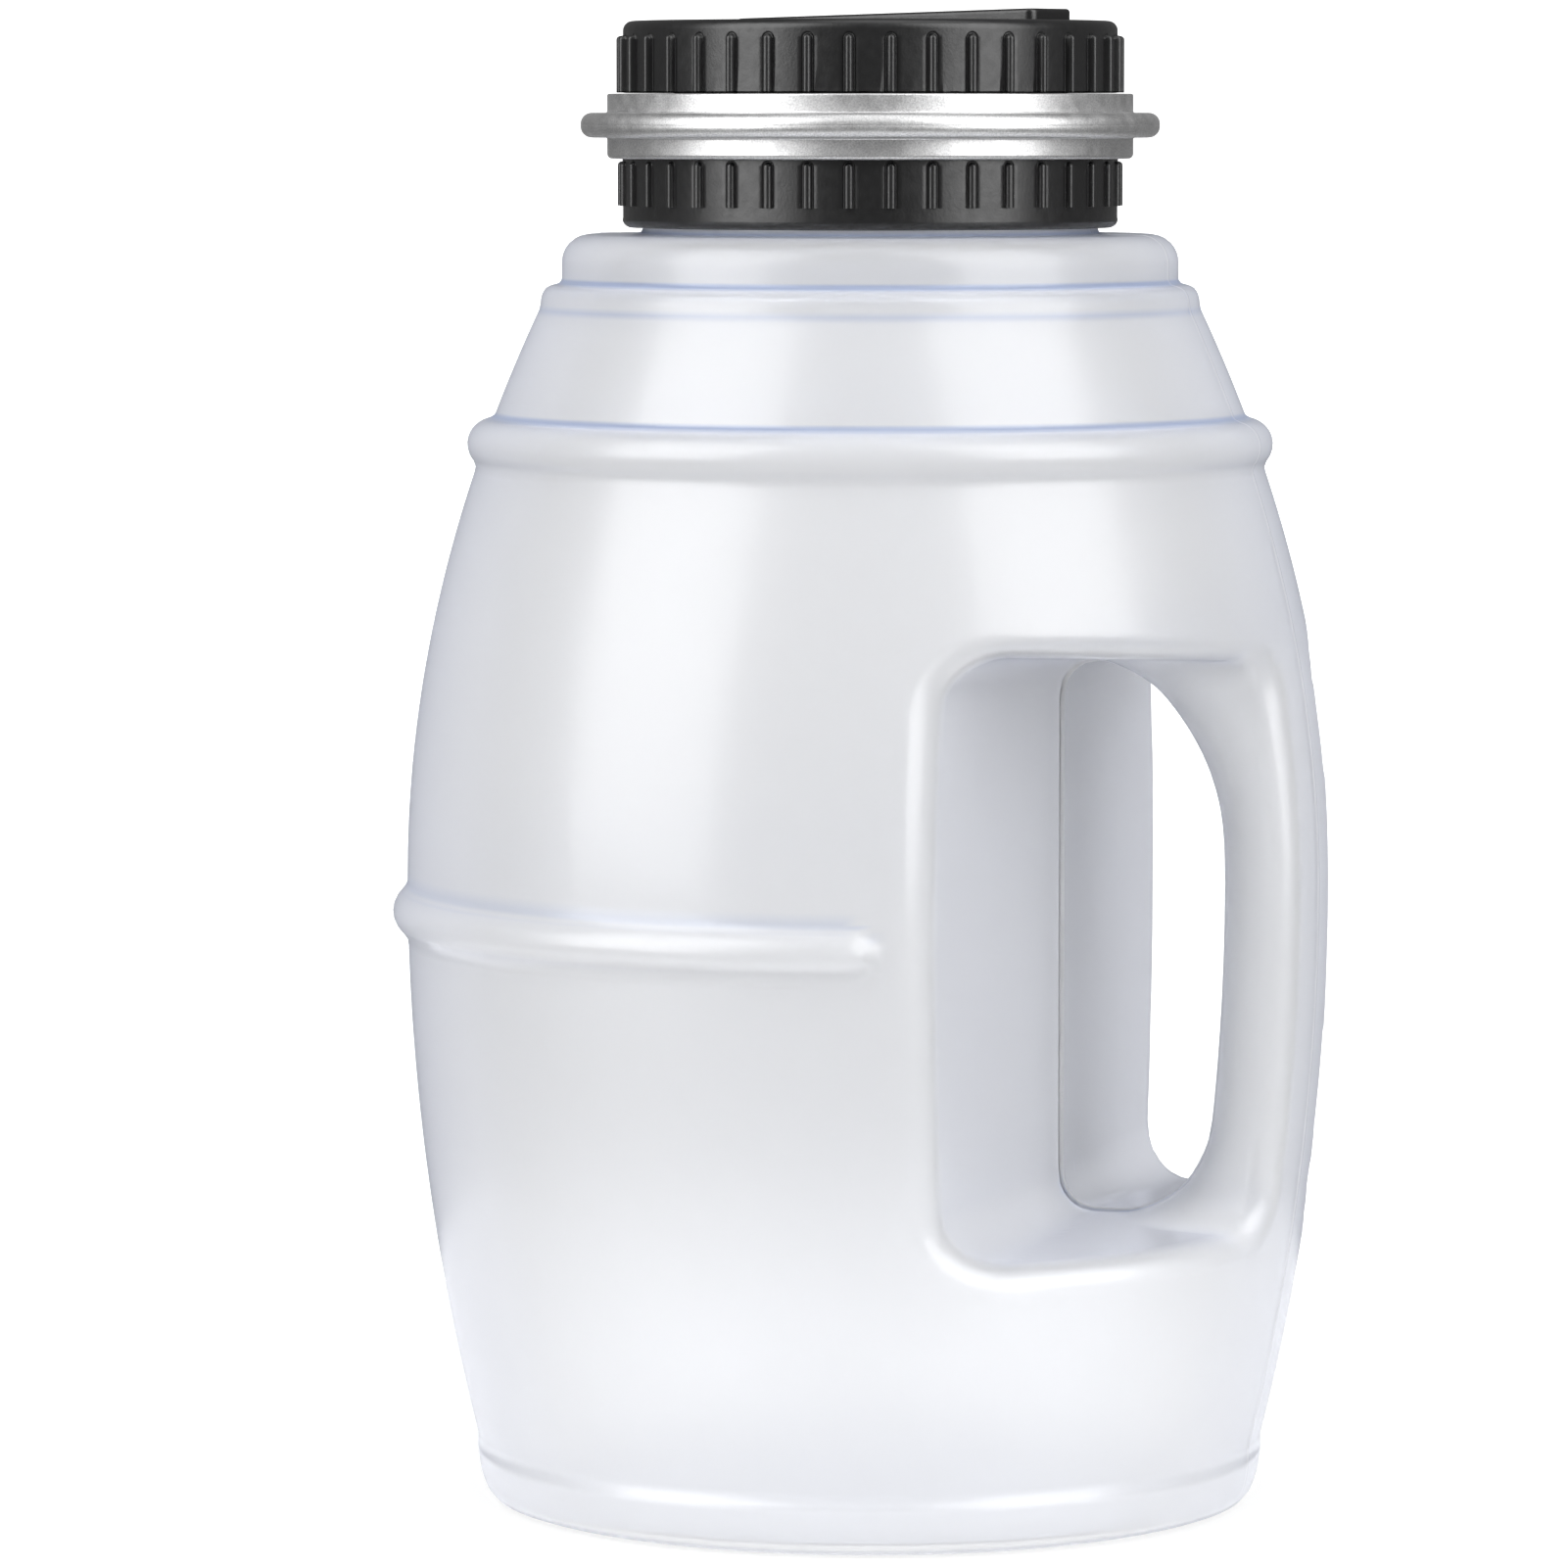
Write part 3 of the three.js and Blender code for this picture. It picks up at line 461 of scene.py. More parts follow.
def panel_glass():
    """The display's pale green-grey reflector under glass."""
    shader = Shader("panel_glass", Coat_Weight=0.6, Coat_Roughness=0.05)
    shader.paint_patches(40, 2, colour(0.5, 0.6, 0.54), colour(0.56, 0.65, 0.59))
    shader.roughen(900, 2, 0.3, 0.42)
    shader.bump(shader.noise(4000, 1), 0.00001, 0.2)
    return shader.material


def board_lacquer():
    """Green solder mask, darker where there is no copper beneath it."""
    shader = Shader("board_lacquer", Coat_Weight=0.3, Coat_Roughness=0.2)
    cells = shader.add("ShaderNodeTexVoronoi", {"Vector": shader.where, "Scale": 160.0}, distance="CHEBYCHEV")
    copper = shader.ranged(cells.outputs["Distance"], 0, 1, 0.3, 0.36)
    shader.paint(copper, colour(0.012, 0.16, 0.05), colour(0.02, 0.26, 0.09))
    shader.roughen(500, 2, 0.3, 0.45)
    shader.bump(copper, 0.00003, 0.5)
    return shader.material


def cell_sleeve(name, side):
    """A dry cell's sleeve: dark blue, and silver at the end towards side."""
    shader = Shader(name)
    links = {"Vector": shader.where, "Angle": -LID_TURN}
    turned = shader.add("ShaderNodeVectorRotate", links, rotation_type="Z_AXIS")
    along = shader.add("ShaderNodeSeparateXYZ", {"Vector": turned.outputs[0]}).outputs["X"]
    band = shader.ranged(along, 0, 1, side * 0.0115, side * 0.0118)
    scuffs = shader.ranged(shader.noise(150, 3), 0, 1)
    sleeve = shader.mixed(scuffs, colour(0.02, 0.06, 0.22), colour(0.03, 0.085, 0.28))
    shader.paint(band, sleeve, colour(0.6, 0.6, 0.62))
    shader.feed("Metallic", shader.ranged(band, 0.3, 0.9, 0, 1))
    shader.roughen(300, 2, 0.29, 0.36)
    shader.bump(shader.noise(1200, 2), 0.00002, 0.2)
    return shader.material


# ---------------------------------------------------------------- the jar
def make_jar(material):
    """The jar as one closed shell: an outer skin, an inner one a wall's thickness in, and a flat lip."""
    grid = jar_grid()
    outside, quads = surface_net(jar_field, grid, around, wrap=1)
    outside = settle(jar_field, outside)
    normals = unit(gradient(jar_field, outside))
    in_neck = outside[:, 2] > SHOULDER["high"] + 0.8
    inside = outside - WALL * normals
    # The bore is plain: the thread stands only on the outside.
    angle = np.arctan2(outside[:, 1], outside[:, 0])
    bore = np.stack([np.cos(angle) * NECK["bore"], np.sin(angle) * NECK["bore"], outside[:, 2]], 1)
    inside = np.where(in_neck[:, None], bore, inside)
    inner_normals = np.where(in_neck[:, None], -unit(bore * [1, 1, 0]), -normals)

    edges = {}
    for quad in quads.tolist():
        for a, b in zip(quad, quad[1:] + quad[:1]):
            if edges.pop((b, a), None) is None:
                edges[(a, b)] = True
    rim = [(a, b) for a, b in edges if outside[a, 2] > NECK["top"] / 2]
    centre_ring = [(a, b) for a, b in edges if outside[a, 2] < NECK["top"] / 2]
    count = len(outside)
    # crease is the mask of the painted blue shade in upward-facing folds; the neck gets none.
    crease = np.where(in_neck, 0, jar_crease_shade(outside, normals))
    for a, b in rim:
        outside[a, 2] = inside[a, 2] = NECK["top"]
    low, floor = 2 * count, 2 * count + 1
    vertices = np.concatenate([outside, inside, [[0, 0, 0], [0, 0, WALL]]])
    all_normals = np.concatenate([normals, inner_normals, [[0, 0, -1], [0, 0, 1]]])
    faces = quads.tolist() + (quads[:, ::-1] + count).tolist()
    faces += [[b, a, a + count, b + count] for a, b in rim]
    faces += [[b, a, low] for a, b in centre_ring] + [[a + count, b + count, floor] for a, b in centre_ring]
    piece = make_piece("jar_shell", vertices, faces, material, "jar", ["jar_body"], all_normals)
    # The painted crease shade goes to the shader as a point attribute.
    attribute = piece.data.attributes.new("crease", "FLOAT", "POINT")
    attribute.data.foreach_set("value", np.concatenate([crease, crease, [0, 0]]))
    return piece


# ---------------------------------------------------------------- camera, floor and lights
CAMERA = dict(distance=1300, azimuth=math.radians(17), height=221, aim_left=13.6, aim_height=113.8, lens=188.5)
ROOM = dict(lit=1.42, mirrored=0.17, seen_through=0.5)  # the white room's brightness for three kinds of ray
FLOOR = dict(radius=0.25, columns=96, glow=0.76)
SOFTBOXES = {  # azimuths from the camera's, in degrees, and metres
    "left_softbox": dict(azimuth=-58, distance=1.3, height=0.8, size=(1.15, 1.8), power=25),
    "right_softbox": dict(azimuth=53, distance=1.3, height=0.8, size=(1.15, 1.8), power=24),
    "top_softbox": dict(azimuth=60, distance=0.15, height=1.6, size=(1.0, 1.0), power=4),
}


def make_camera():
    across = np.array([math.cos(CAMERA["azimuth"]), math.sin(CAMERA["azimuth"]), 0])
    back = np.array([math.sin(CAMERA["azimuth"]), -math.cos(CAMERA["azimuth"]), 0])
    place = back * CAMERA["distance"] + [0, 0, CAMERA["height"]]
    aim = -across * CAMERA["aim_left"] + [0, 0, CAMERA["aim_height"]]
    data = bpy.data.cameras.new("camera")
    data.lens = CAMERA["lens"]
    data.sensor_width = 36
    data.clip_end = 20
    camera = bpy.data.objects.new("camera", data)
    camera.location = Vector(place * MM)
    camera.rotation_euler = Vector((aim - place) * MM).to_track_quat("-Z", "Y").to_euler()
    bpy.context.scene.collection.objects.link(camera)
    bpy.context.scene.camera = camera


def make_floor():
    """A pale disc that glows a little, so that it is white without a bright light on the jar."""
    white = colour(1, 1, 1)
    shader = Shader("floor_paint", Roughness=0.7, Emission_Color=white, Emission_Strength=FLOOR["glow"])
    shader.paint_patches(6, 2, colour(0.15, 0.15, 0.15), colour(0.17, 0.17, 0.17))
    turns = np.linspace(0, 2 * math.pi, FLOOR["columns"] + 1)[:-1]
    ring = [(FLOOR["radius"] * math.cos(a), FLOOR["radius"] * math.sin(a), 0) for a in turns]
    mesh = bpy.data.meshes.new("floor")
    mesh.from_pydata(ring, [], [list(range(len(ring)))])
    mesh.materials.append(shader.material)
    floor = bpy.data.objects.new("floor", mesh)
    bpy.context.scene.collection.objects.link(floor)


def make_softbox(name, box):
    """A rectangular light that faces the jar and that the camera doesn't see."""
    angle = CAMERA["azimuth"] + math.radians(box["azimuth"])
    place = Vector((box["distance"] * math.sin(angle), -box["distance"] * math.cos(angle), box["height"]))
    data = bpy.data.lights.new(name, "AREA")
    data.shape = "RECTANGLE"
    data.size, data.size_y = box["size"]
    data.energy = box["power"]
    light = bpy.data.objects.new(name, data)
    light.location = place
    light.rotation_euler = (Vector((0, 0, 0.12)) - place).to_track_quat("-Z", "Y").to_euler()
    light.visible_camera = False
    bpy.context.scene.collection.objects.link(light)


def make_lights():
    """A white room that mirrors darker than it lights, and the soft boxes in it."""
    world = bpy.data.worlds.new("studio")
    world.use_nodes = True
    tree = world.node_tree
    path = tree.nodes.new("ShaderNodeLightPath")
    mirrored = tree.nodes.new("ShaderNodeMapRange")
    tree.links.new(path.outputs["Is Glossy Ray"], mirrored.inputs["Value"])
    mirrored.inputs["To Min"].default_value = ROOM["lit"]
    mirrored.inputs["To Max"].default_value = ROOM["mirrored"]
    strength = tree.nodes.new("ShaderNodeMapRange")
    tree.links.new(path.outputs["Is Transmission Ray"], strength.inputs["Value"])
    tree.links.new(mirrored.outputs["Result"], strength.inputs["To Min"])
    strength.inputs["To Max"].default_value = ROOM["seen_through"]
    tree.links.new(strength.outputs["Result"], tree.nodes["Background"].inputs["Strength"])
    tree.nodes["Background"].inputs["Color"].default_value = (1, 1, 1, 1)
    bpy.context.scene.world = world
    bpy.context.scene.view_settings.view_transform = "Standard"
    for name, box in SOFTBOXES.items():
        make_softbox(name, box)


# ---------------------------------------------------------------- turned and ribbed shells, in millimetres
def rounded(corners, steps=5):
    """Points and outward normals of a closed anticlockwise outline of (a, b, fillet) corners."""
    points, normals = [], []
    for before, corner, after in zip(corners[-1:] + corners[:-1], corners, corners[1:] + corners[:1]):
        here, fillet = np.array(corner[:2]), corner[2]
        inward, onward = here - before[:2], np.array(after[:2]) - here
        inward, onward = inward / np.hypot(*inward), onward / np.hypot(*onward)
        turn = math.atan2(inward[0] * onward[1] - inward[1] * onward[0], inward @ onward)
        side = math.copysign(1, turn)
        outward = np.array([inward[1], -inward[0]])
        centre = here - inward * fillet * math.tan(abs(turn) / 2) - outward * fillet * side
        for angle in np.linspace(0, turn, steps + 1):
            c, s = math.cos(angle), math.sin(angle)
            normal = np.array([outward[0] * c - outward[1] * s, outward[0] * s + outward[1] * c])
            points.append(centre + normal * fillet * side)
            normals.append(normal)
    return np.array(points), np.array(normals)


class Shell:
    """A mesh put together from rings of points that each carry a normal."""

    def __init__(self):
        self.vertices, self.normals, self.faces = [], [], []

    def ring(self, points, normals):
        first = len(self.vertices)
        self.vertices.extend(np.asarray(points, float).tolist())
        self.normals.extend(np.broadcast_to(normals, (len(points), 3)).tolist())
        return list(range(first, len(self.vertices)))

    def bridge(self, a, b):
        """Quads from ring a to ring b, both anticlockwise seen from above: facing out where b is above a."""
        self.faces += [[a[k - 1], a[k], b[k], b[k - 1]] for k in range(len(a))]

    def bridge_all(self, rings):
        for a, b in zip(rings, rings[1:]):
            self.bridge(a, b)

    def plate(self, outer, holes, up):
        """Triangles between an outer ring and the round or rectangular holes in it."""
        rings = [outer, *holes]
        within = [set(hole) for hole in holes]
        index = [i for ring in rings for i in ring]
        where = [Vector(self.vertices[i][:2]) for i in index]
        edges, first = [], 0
        for ring in rings:
            edges += [(first + k, first + (k + 1) % len(ring)) for k in range(len(ring))]
            first += len(ring)
        made = delaunay_2d_cdt(where, edges, [], 1, 1e-6)
        for face in made[2]:
            corners = [index[made[3][v][0]] for v in face]
            if any(hole.issuperset(corners) for hole in within):
                continue
            a, b, c = (np.array(self.vertices[i][:2]) for i in corners[:3])
            facing = (b - a)[0] * (c - a)[1] - (b - a)[1] * (c - a)[0]
            self.faces.append(corners if (facing > 0) == up else corners[::-1])

    def lathe(self, profile, profile_normals, angles, relief=None, at=(0, 0)):
        """Rings of a profile turned round an axis, with relief(angle, z) standing out from its outside."""
        rings = []
        for (r, z), (nr, nz) in zip(profile, profile_normals):
            height, lean, rise = relief(angles, r, z, nr) if relief else (0, 0, 0)
            c, s = np.cos(angles), np.sin(angles)
            points = np.stack([(r + height) * c + at[0], (r + height) * s + at[1], np.full(len(angles), z)], 1)
            across = -lean * nr
            up = np.full(len(angles), nz) - rise * nr
            normals = np.stack([nr * c - across * s, nr * s + across * c, up], 1)
            rings.append(self.ring(points, unit(normals)))
        return rings

    def turned(self, corners, columns=256, steps=5, at=(0, 0)):
        """A closed ring turned from an outline of (radius, z, fillet) corners."""
        rings = self.lathe(*rounded(corners, steps), np.arange(columns) * 2 * math.pi / columns, at=at)
        self.bridge_all(rings + rings[:1])
        return self

    def piece(self, name, material, body, nodes=(), turn=0.0):
        return make_piece(name, self.vertices, self.faces, material, body, nodes, self.normals, turn)


# ---------------------------------------------------------------- the lid's shape: u, w, z turned by LID_TURN
LID_TURN = math.radians(163.8)
COLLAR = dict(radius=39.1, bore=37.95, low=202.1, high=222.0, corner=1.3, flange=2.0, flange_bore=32.4)
COLLAR_THREAD = 0.85  # its depth as a share of the height of the neck's thread
RING = dict(radius=41.5, bore=39.4, low=212.9, high=223.1, lip_bore=37.2, lip=0.9)
RING_BEAD = dict(radius=45.7, low=216.2, high=220.1)
CAP = dict(radius=39.0, bore=37.2, low=223.2, high=234.5, top=2.0, corner=1.5)
RIB = dict(count=38, half_width=0.72, crease=0.22, crease_depth=0.14)
CAP_RIBS = dict(low=223.2, high=232.25, proud=1.05)
COLLAR_RIBS = dict(low=205.5, high=212.5, proud=0.75)
SLOT = dict(u=6.35, w=-9.2, half_length=17.75, half_width=1.75)
PLATE = dict(half_length=28.25, half_width=6.1, thick=1.9, thin=0.6, corner=1.7)
INSERT = dict(half_length=24.85, half_width=4.65, low=230.6, gap=0.15)
FINGER = dict(w=-0.6, radius=2.9)  # where the slot widens, in line with the scoop
SCOOP = dict(u=5.8, above=1.4, half_length=12.2, half_width=5.25, half_depth=2.7)
WINDOW = dict(w=18.3, length=41.7, width=13.2, bevel=1.15, corner=1.3)
BUTTON = dict(u=8.2, w=-27.0, radius=4.85, crown=0.12, hole=5.1, flange=5.9, post=1.5, top=234.6)
SIGN = dict(reach=2.4, half_width=0.47, bar_reach=2.65, bar_half_width=0.6, half_line=0.16, depth=0.22)
LEVER = dict(u=21.7, z=228.4, arm=15.6, half_width=1.45, nose_rise=3.5, top=2.5, eye=2.1, pin=0.95)
NOSE = dict(big=1.55, small=1.25)
GASKET = dict(inner=34.2, groove=36.0, half_groove=0.4, groove_depth=0.3)
BOARD_LOW = 224.4
SCREWS = [(28.4, 8), (-28.4, 8), (20.3, -21.3), (-20.3, -21.3)]
BOSS = dict(bore=1.2, radius=2.6, below_board=4.2, collar=3.3, above_board=1.9)
BAY = dict(half_length=24.7, z=212.2)  # the battery bay, and the height of the cells' axes
CELL_SPRINGS = {"negative_spring_1": (2.2, -1), "negative_spring_2": (13.2, 1)}  # w, and which end of the bay
LEADS = {
    "positive_lead": [(27.6, 2, 220.2), (27.9, 2, 221.4), (27.2, 1, 222.6), (27.4, 0, 224.1)],
    "negative_lead": [(27, 15, 220.2), (26.2, 15.4, 221.4), (26, 16.2, 222.6), (25, 16, 224.1)],
}


def rib_angles():
    """Columns close together across each rib, and a few on the way to the next."""
    pitch = 2 * math.pi * CAP["radius"] / RIB["count"]
    near = np.array([0.08, 0.24, 0.4, 0.52, 0.62, 0.69, 0.74, 0.82, 0.92, 1.05, 1.7])
    offsets = np.concatenate([-near[::-1], near, [pitch / 2]])
    centres = (np.arange(RIB["count"]) + 0.5) * 2 * math.pi / RIB["count"]
    return (centres[:, None] + offsets[None] / CAP["radius"]).ravel()


def rib_height(along, z, ribs):
    """Height of a half-round rib, with a crease each side, at a distance along the skirt from its middle."""
    end = ribs["high"] - RIB["half_width"]
    off = np.hypot(along, np.maximum(z - end, 0))
    inside = np.clip(1 - (off / RIB["half_width"]) ** 2.4, 0, 1) ** 0.5
    crease = -RIB["crease_depth"] * bell(off - RIB["half_width"] - 0.1, RIB["crease"] / 1.5)
    return np.where(z >= ribs["low"], np.where(off < RIB["half_width"], ribs["proud"] * inside, 0) + crease, 0)


def rib_relief(ribs, top):
    """For lathe(): how far ribs stand out, and their slopes round the skirt and up it."""

    def relief(angles, r, z, outward):
        pitch = 2 * math.pi / RIB["count"]
        along = ((angles / pitch) % 1 - 0.5) * pitch * CAP["radius"]
        if outward < 0.5 or z > top:
            return np.zeros_like(along), 0, 0
        step = 0.03
        height = rib_height(along, z, ribs)
        lean = (rib_height(along + step, z, ribs) - rib_height(along - step, z, ribs)) / (2 * step)
        rise = (rib_height(along, z + step, ribs) - rib_height(along, z - step, ribs)) / (2 * step)
        rise = np.where(abs(z - ribs["low"]) < 2 * step, 0, rise)
        return height, np.clip(lean, -4, 4), np.clip(rise, -4, 4)

    return relief


def skirt_rows(low, high, ribs):
    """Heights up a ribbed skirt: a step at the ribs' feet, and close together over their round tops."""
    rows = [low]
    if ribs["low"] > low + 0.1:
        rows += [ribs["low"] - 0.1, ribs["low"] - 0.03, ribs["low"]]
    rows += [ribs["low"] + 0.06, (ribs["low"] + ribs["high"]) / 2]
    rows += list(ribs["high"] - RIB["half_width"] - 0.05 + np.linspace(0, RIB["half_width"] + 0.5, 12))
    return [z for z in rows if z <= high - 0.02] + [high]


def rounded_rectangle(length, width, corner, steps=6):
    """Points and outward normals of a rectangle with round corners, anticlockwise about the origin."""
    x, y = length / 2, width / 2
    return rounded([(-x, -y, corner), (x, -y, corner), (x, y, corner), (-x, y, corner)], steps)


def circle(radius, columns=72):
    angles = np.arange(columns) * 2 * math.pi / columns
    normals = np.stack([np.cos(angles), np.sin(angles)], 1)
    return radius * normals, normals


def hole_wall(shell, outline, centre, levels):
    """Rings down the wall of a hole in a plate: each level is (growth, z, the wall's lean towards +Z)."""
    points, normals = outline
    rings = []
    for growth, z, lean in levels:
        where = points + normals * growth + centre
        facing = np.concatenate([-normals * math.cos(lean), np.full((len(points), 1), math.sin(lean))], 1)
        rings.append(shell.ring(np.column_stack([where, np.full(len(where), z)]), facing))
    shell.bridge_all(rings)
    return rings[0], rings[-1]


def edge_levels(fillet, top, bottom, steps=4):
    """A hole's levels: a fillet at its top edge, then straight down."""
    turns = np.linspace(math.pi / 2, 0, steps + 1)
    rounds = [(fillet * (1 - math.cos(a)), top - fillet * (1 - math.sin(a)), a) for a in turns]
    return rounds + [(0, bottom, 0)]


def make_cap(material):
    """The top cap: a ribbed skirt, a top with its four openings, and the screw bosses under it."""
    shell = Shell()
    angles = rib_angles()
    radius, high, corner = CAP["radius"], CAP["high"], CAP["corner"]
    rows = skirt_rows(CAP["low"] + 0.25, high - corner, CAP_RIBS)
    rounds = np.linspace(0, math.pi / 2, 8)[1:]
    profile = [(CAP["bore"] + 0.2, CAP["low"]), (radius - 0.25, CAP["low"])] + [(radius, z) for z in rows]
    normals = [(0, -1), (0, -1)] + [(1, 0)] * len(rows)
    profile += [(radius - corner * (1 - math.cos(a)), high - corner * (1 - math.sin(a))) for a in rounds]
    normals += [(math.cos(a), math.sin(a)) for a in rounds]
    skirt = shell.lathe(profile, normals, angles, rib_relief(CAP_RIBS, CAP_RIBS["high"] + 0.6))
    shell.bridge_all(skirt)
    under = high - CAP["top"]
    bore = CAP["bore"]
    inside = [(bore - 1, under), (bore - 0.3, under - 0.09), (bore - 0.09, under - 0.3), (bore, under - 1)]
    inside += [(bore, CAP["low"] + 0.2), (bore + 0.2, CAP["low"])]
    facing = [(0, -1), (-0.4, -0.9), (-0.9, -0.4), (-1, 0), (-1, 0), (-0.7, -0.7)]
    lining = shell.lathe(inside, facing, angles)
    shell.bridge_all(lining)
    shell.bridge(lining[-1], skirt[0])

    grown = WINDOW["bevel"]
    lean = math.atan2(grown, CAP["top"] - 0.5)
    window = rounded_rectangle(WINDOW["length"], WINDOW["width"], WINDOW["corner"], 8)
    window_levels = [(grown + 0.12, high, math.pi / 2), (grown, high - 0.05, 1.0)]
    window_levels += [(grown - 0.06, high - 0.14, lean), (0.05, under + 0.42, lean)]
    window_levels += [(0, under + 0.36, 0), (0, under, 0)]
    length, width = (2 * (INSERT[key] + INSERT["gap"]) for key in ("half_length", "half_width"))
    pocket = rounded_rectangle(length, width, 1)
    holes = [hole_wall(shell, window, (0, WINDOW["w"]), window_levels)]
    holes.append(hole_wall(shell, pocket, (0, SLOT["w"]), edge_levels(0.15, high, under)))
    for u in (-BUTTON["u"], BUTTON["u"]):
        holes.append(hole_wall(shell, circle(BUTTON["hole"]), (u, BUTTON["w"]), edge_levels(0.25, high, under)))
    shell.plate(skirt[-1], [top for top, _ in holes], True)
    shell.plate(lining[0], [bottom for _, bottom in holes], False)
    bore, top = BOSS["bore"], under + 0.4
    slim = (BOSS["radius"], BOARD_LOW - BOSS["below_board"])
    stout = (BOSS["collar"], BOARD_LOW + BOSS["above_board"])
    for place in SCREWS:
        for r, low in (slim, stout):
            shell.turned([(bore, low, 0.1), (r, low, 0.2), (r, top, 0.2), (bore, top, 0.1)], 40, 3, place)
    return shell.piece("cap_shell", material, "lid", ["top_cap"], LID_TURN)


def make_collar(material):
    """The screw collar: a ribbed skirt with a flange at its top and the jar's thread as a groove inside."""
    shell = Shell()
    angles = rib_angles()
    radius, low, high, bore = COLLAR["radius"], COLLAR["low"], COLLAR["high"], COLLAR["bore"]
    corner = COLLAR["corner"]
    rounds = np.linspace(-math.pi / 2, 0, 7)
    profile = [(radius - corner * (1 - math.cos(a)), low + corner * (1 + math.sin(a))) for a in rounds]
    normals = [(math.cos(a), math.sin(a)) for a in rounds]
    rows = skirt_rows(low + corner + 0.2, RING["low"] + 1, COLLAR_RIBS)
    profile += [(radius - 0.08 if z < COLLAR_RIBS["low"] - 0.02 else radius, z) for z in rows]
    normals += [(1, 0)] * len(rows)
    flange = high - COLLAR["flange"]
    profile += [(radius, high - 0.3), (radius - 0.3, high), (COLLAR["flange_bore"] + 0.3, high)]
    normals += [(1, 0), (0, 1), (0, 1)]
    profile += [(COLLAR["flange_bore"], high - 0.3), (COLLAR["flange_bore"], flange + 0.3)]
    normals += [(-1, 0), (-1, 0)]
    profile += [(COLLAR["flange_bore"] + 0.3, flange), (bore - 0.4, flange), (bore, flange - 0.4)]
    normals += [(0, -1), (0, -1), (-1, 0)]
    threaded = np.arange(flange - 0.8, low + 0.6, -0.35)
    profile += [(bore, z) for z in threaded] + [(bore, low + 0.25), (bore + 0.15, low)]
    normals += [(-1, 0)] * len(threaded) + [(-1, 0), (-0.3, -0.95)]
    ribs = rib_relief(COLLAR_RIBS, COLLAR_RIBS["high"] + 0.6)

    def relief(around_axis, r, z, outward):
        if outward > -0.9:
            return ribs(around_axis, r, z, outward)
        x, y = np.cos(around_axis), np.sin(around_axis)
        step = 0.05
        height = -COLLAR_THREAD * thread_height(x, y, z)
        rise = COLLAR_THREAD * (thread_height(x, y, z - step) - thread_height(x, y, z + step)) / (2 * step)
        return height, 0, rise

    rings = shell.lathe(profile, normals, angles, relief)
    shell.bridge_all(rings + rings[:1])
    return shell.piece("collar_shell", material, "lid", ["threaded_collar"], LID_TURN)


def make_ring(material):
    """The silver ring: a bead round it with a hairline at its crest, and a lip over the collar."""
    low, high, radius = RING["low"], RING["high"], RING["radius"]
    bead_low, bead_high, crest = RING_BEAD["low"], RING_BEAD["high"], RING_BEAD["radius"]
    nose, middle = (bead_high - bead_low) / 2, (bead_low + bead_high) / 2
    outline = [(RING["bore"], low, 0.2), (radius, low, 0.75), (radius, bead_low, 0.3)]
    outline += [(crest, bead_low, nose - 0.2), (crest, middle - 0.07, 0.04), (crest - 0.07, middle, 0.05)]
    outline += [(crest, middle + 0.07, 0.04), (crest, bead_high, nose - 0.2)]
    outline += [(radius, bead_high, 0.3), (radius, high, 0.35), (RING["lip_bore"], high, 0.2)]
    outline += [(RING["lip_bore"], high - RING["lip"], 0.2), (RING["bore"], high - RING["lip"], 0.2)]
    return Shell().turned(outline, 320, 7).piece("silver_trim", material, "lid", ["silver_ring"], LID_TURN)


def make_gasket(material):
    """The gasket, with one groove round its top."""
    low, high = edges_mm("sealing_gasket")
    inner, outer, low, high = GASKET["inner"], high[0], low[2], high[2]
    middle, half = GASKET["groove"], GASKET["half_groove"]
    outline = [(inner, low, 0.3), (outer, low, 0.3), (outer, high, 0.3), (middle + half, high, 0.2)]
    outline += [(middle, high - GASKET["groove_depth"], 0.2), (middle - half, high, 0.2), (inner, high, 0.3)]
    return Shell().turned(outline, 200, 4).piece("gasket_ring", material, "lid_seal", ["sealing_gasket"])


# ---------------------------------------------------------------- the top's small pieces
def spaced(low, high, step):
    return np.linspace(low, high, max(2, round((high - low) / step) + 1))


def blob_piece(name, field, axes, material, body, node, rounds=5):
    """A piece of the lid that is the solid of a field."""
    vertices, faces = surface_net(field, axes)
    vertices = settle(field, vertices, rounds)
    normals = unit(gradient(field, vertices))
    return make_piece(name, vertices, faces, material, body, [node], normals, LID_TURN)


def slot_plate_field(p):
    """The slot's surround: a wedge with a plug below it, a scoop in its top and the slot through both."""
    u, w, z = p.T
    w = w - SLOT["w"]
    along_plate = (u + PLATE["half_length"]) / (2 * PLATE["half_length"])
    top = CAP["high"] + lerp(PLATE["thick"], PLATE["thin"], along_plate)
    outline = box_2d(np.abs(u) - PLATE["half_length"], np.abs(w) - PLATE["half_width"], PLATE["corner"])
    raised = np.maximum(round_max(outline, z - top, 0.6), CAP["high"] + 0.02 - z)
    plug = box_2d(np.abs(u) - INSERT["half_length"], np.abs(w) - INSERT["half_width"], 1.0)
    plug = np.maximum(plug, np.maximum(INSERT["low"] - z, z - CAP["high"] - 0.4))
    body = np.minimum(raised, plug)
    along = u - SLOT["u"]
    slot = box_2d(np.abs(along) - SLOT["half_length"], np.abs(w) - SLOT["half_width"], 1.6)
    bulge = np.hypot(u - SCOOP["u"], w - FINGER["w"]) - FINGER["radius"]
    reach = (SCOOP["half_length"], SCOOP["half_width"], SCOOP["half_depth"])
    body = round_max(body, -ellipsoid((u - SCOOP["u"], w, z - CAP["high"] - SCOOP["above"]), reach), 0.35)
    return round_max(body, -round_min(slot, bulge, 0.8), 0.3)


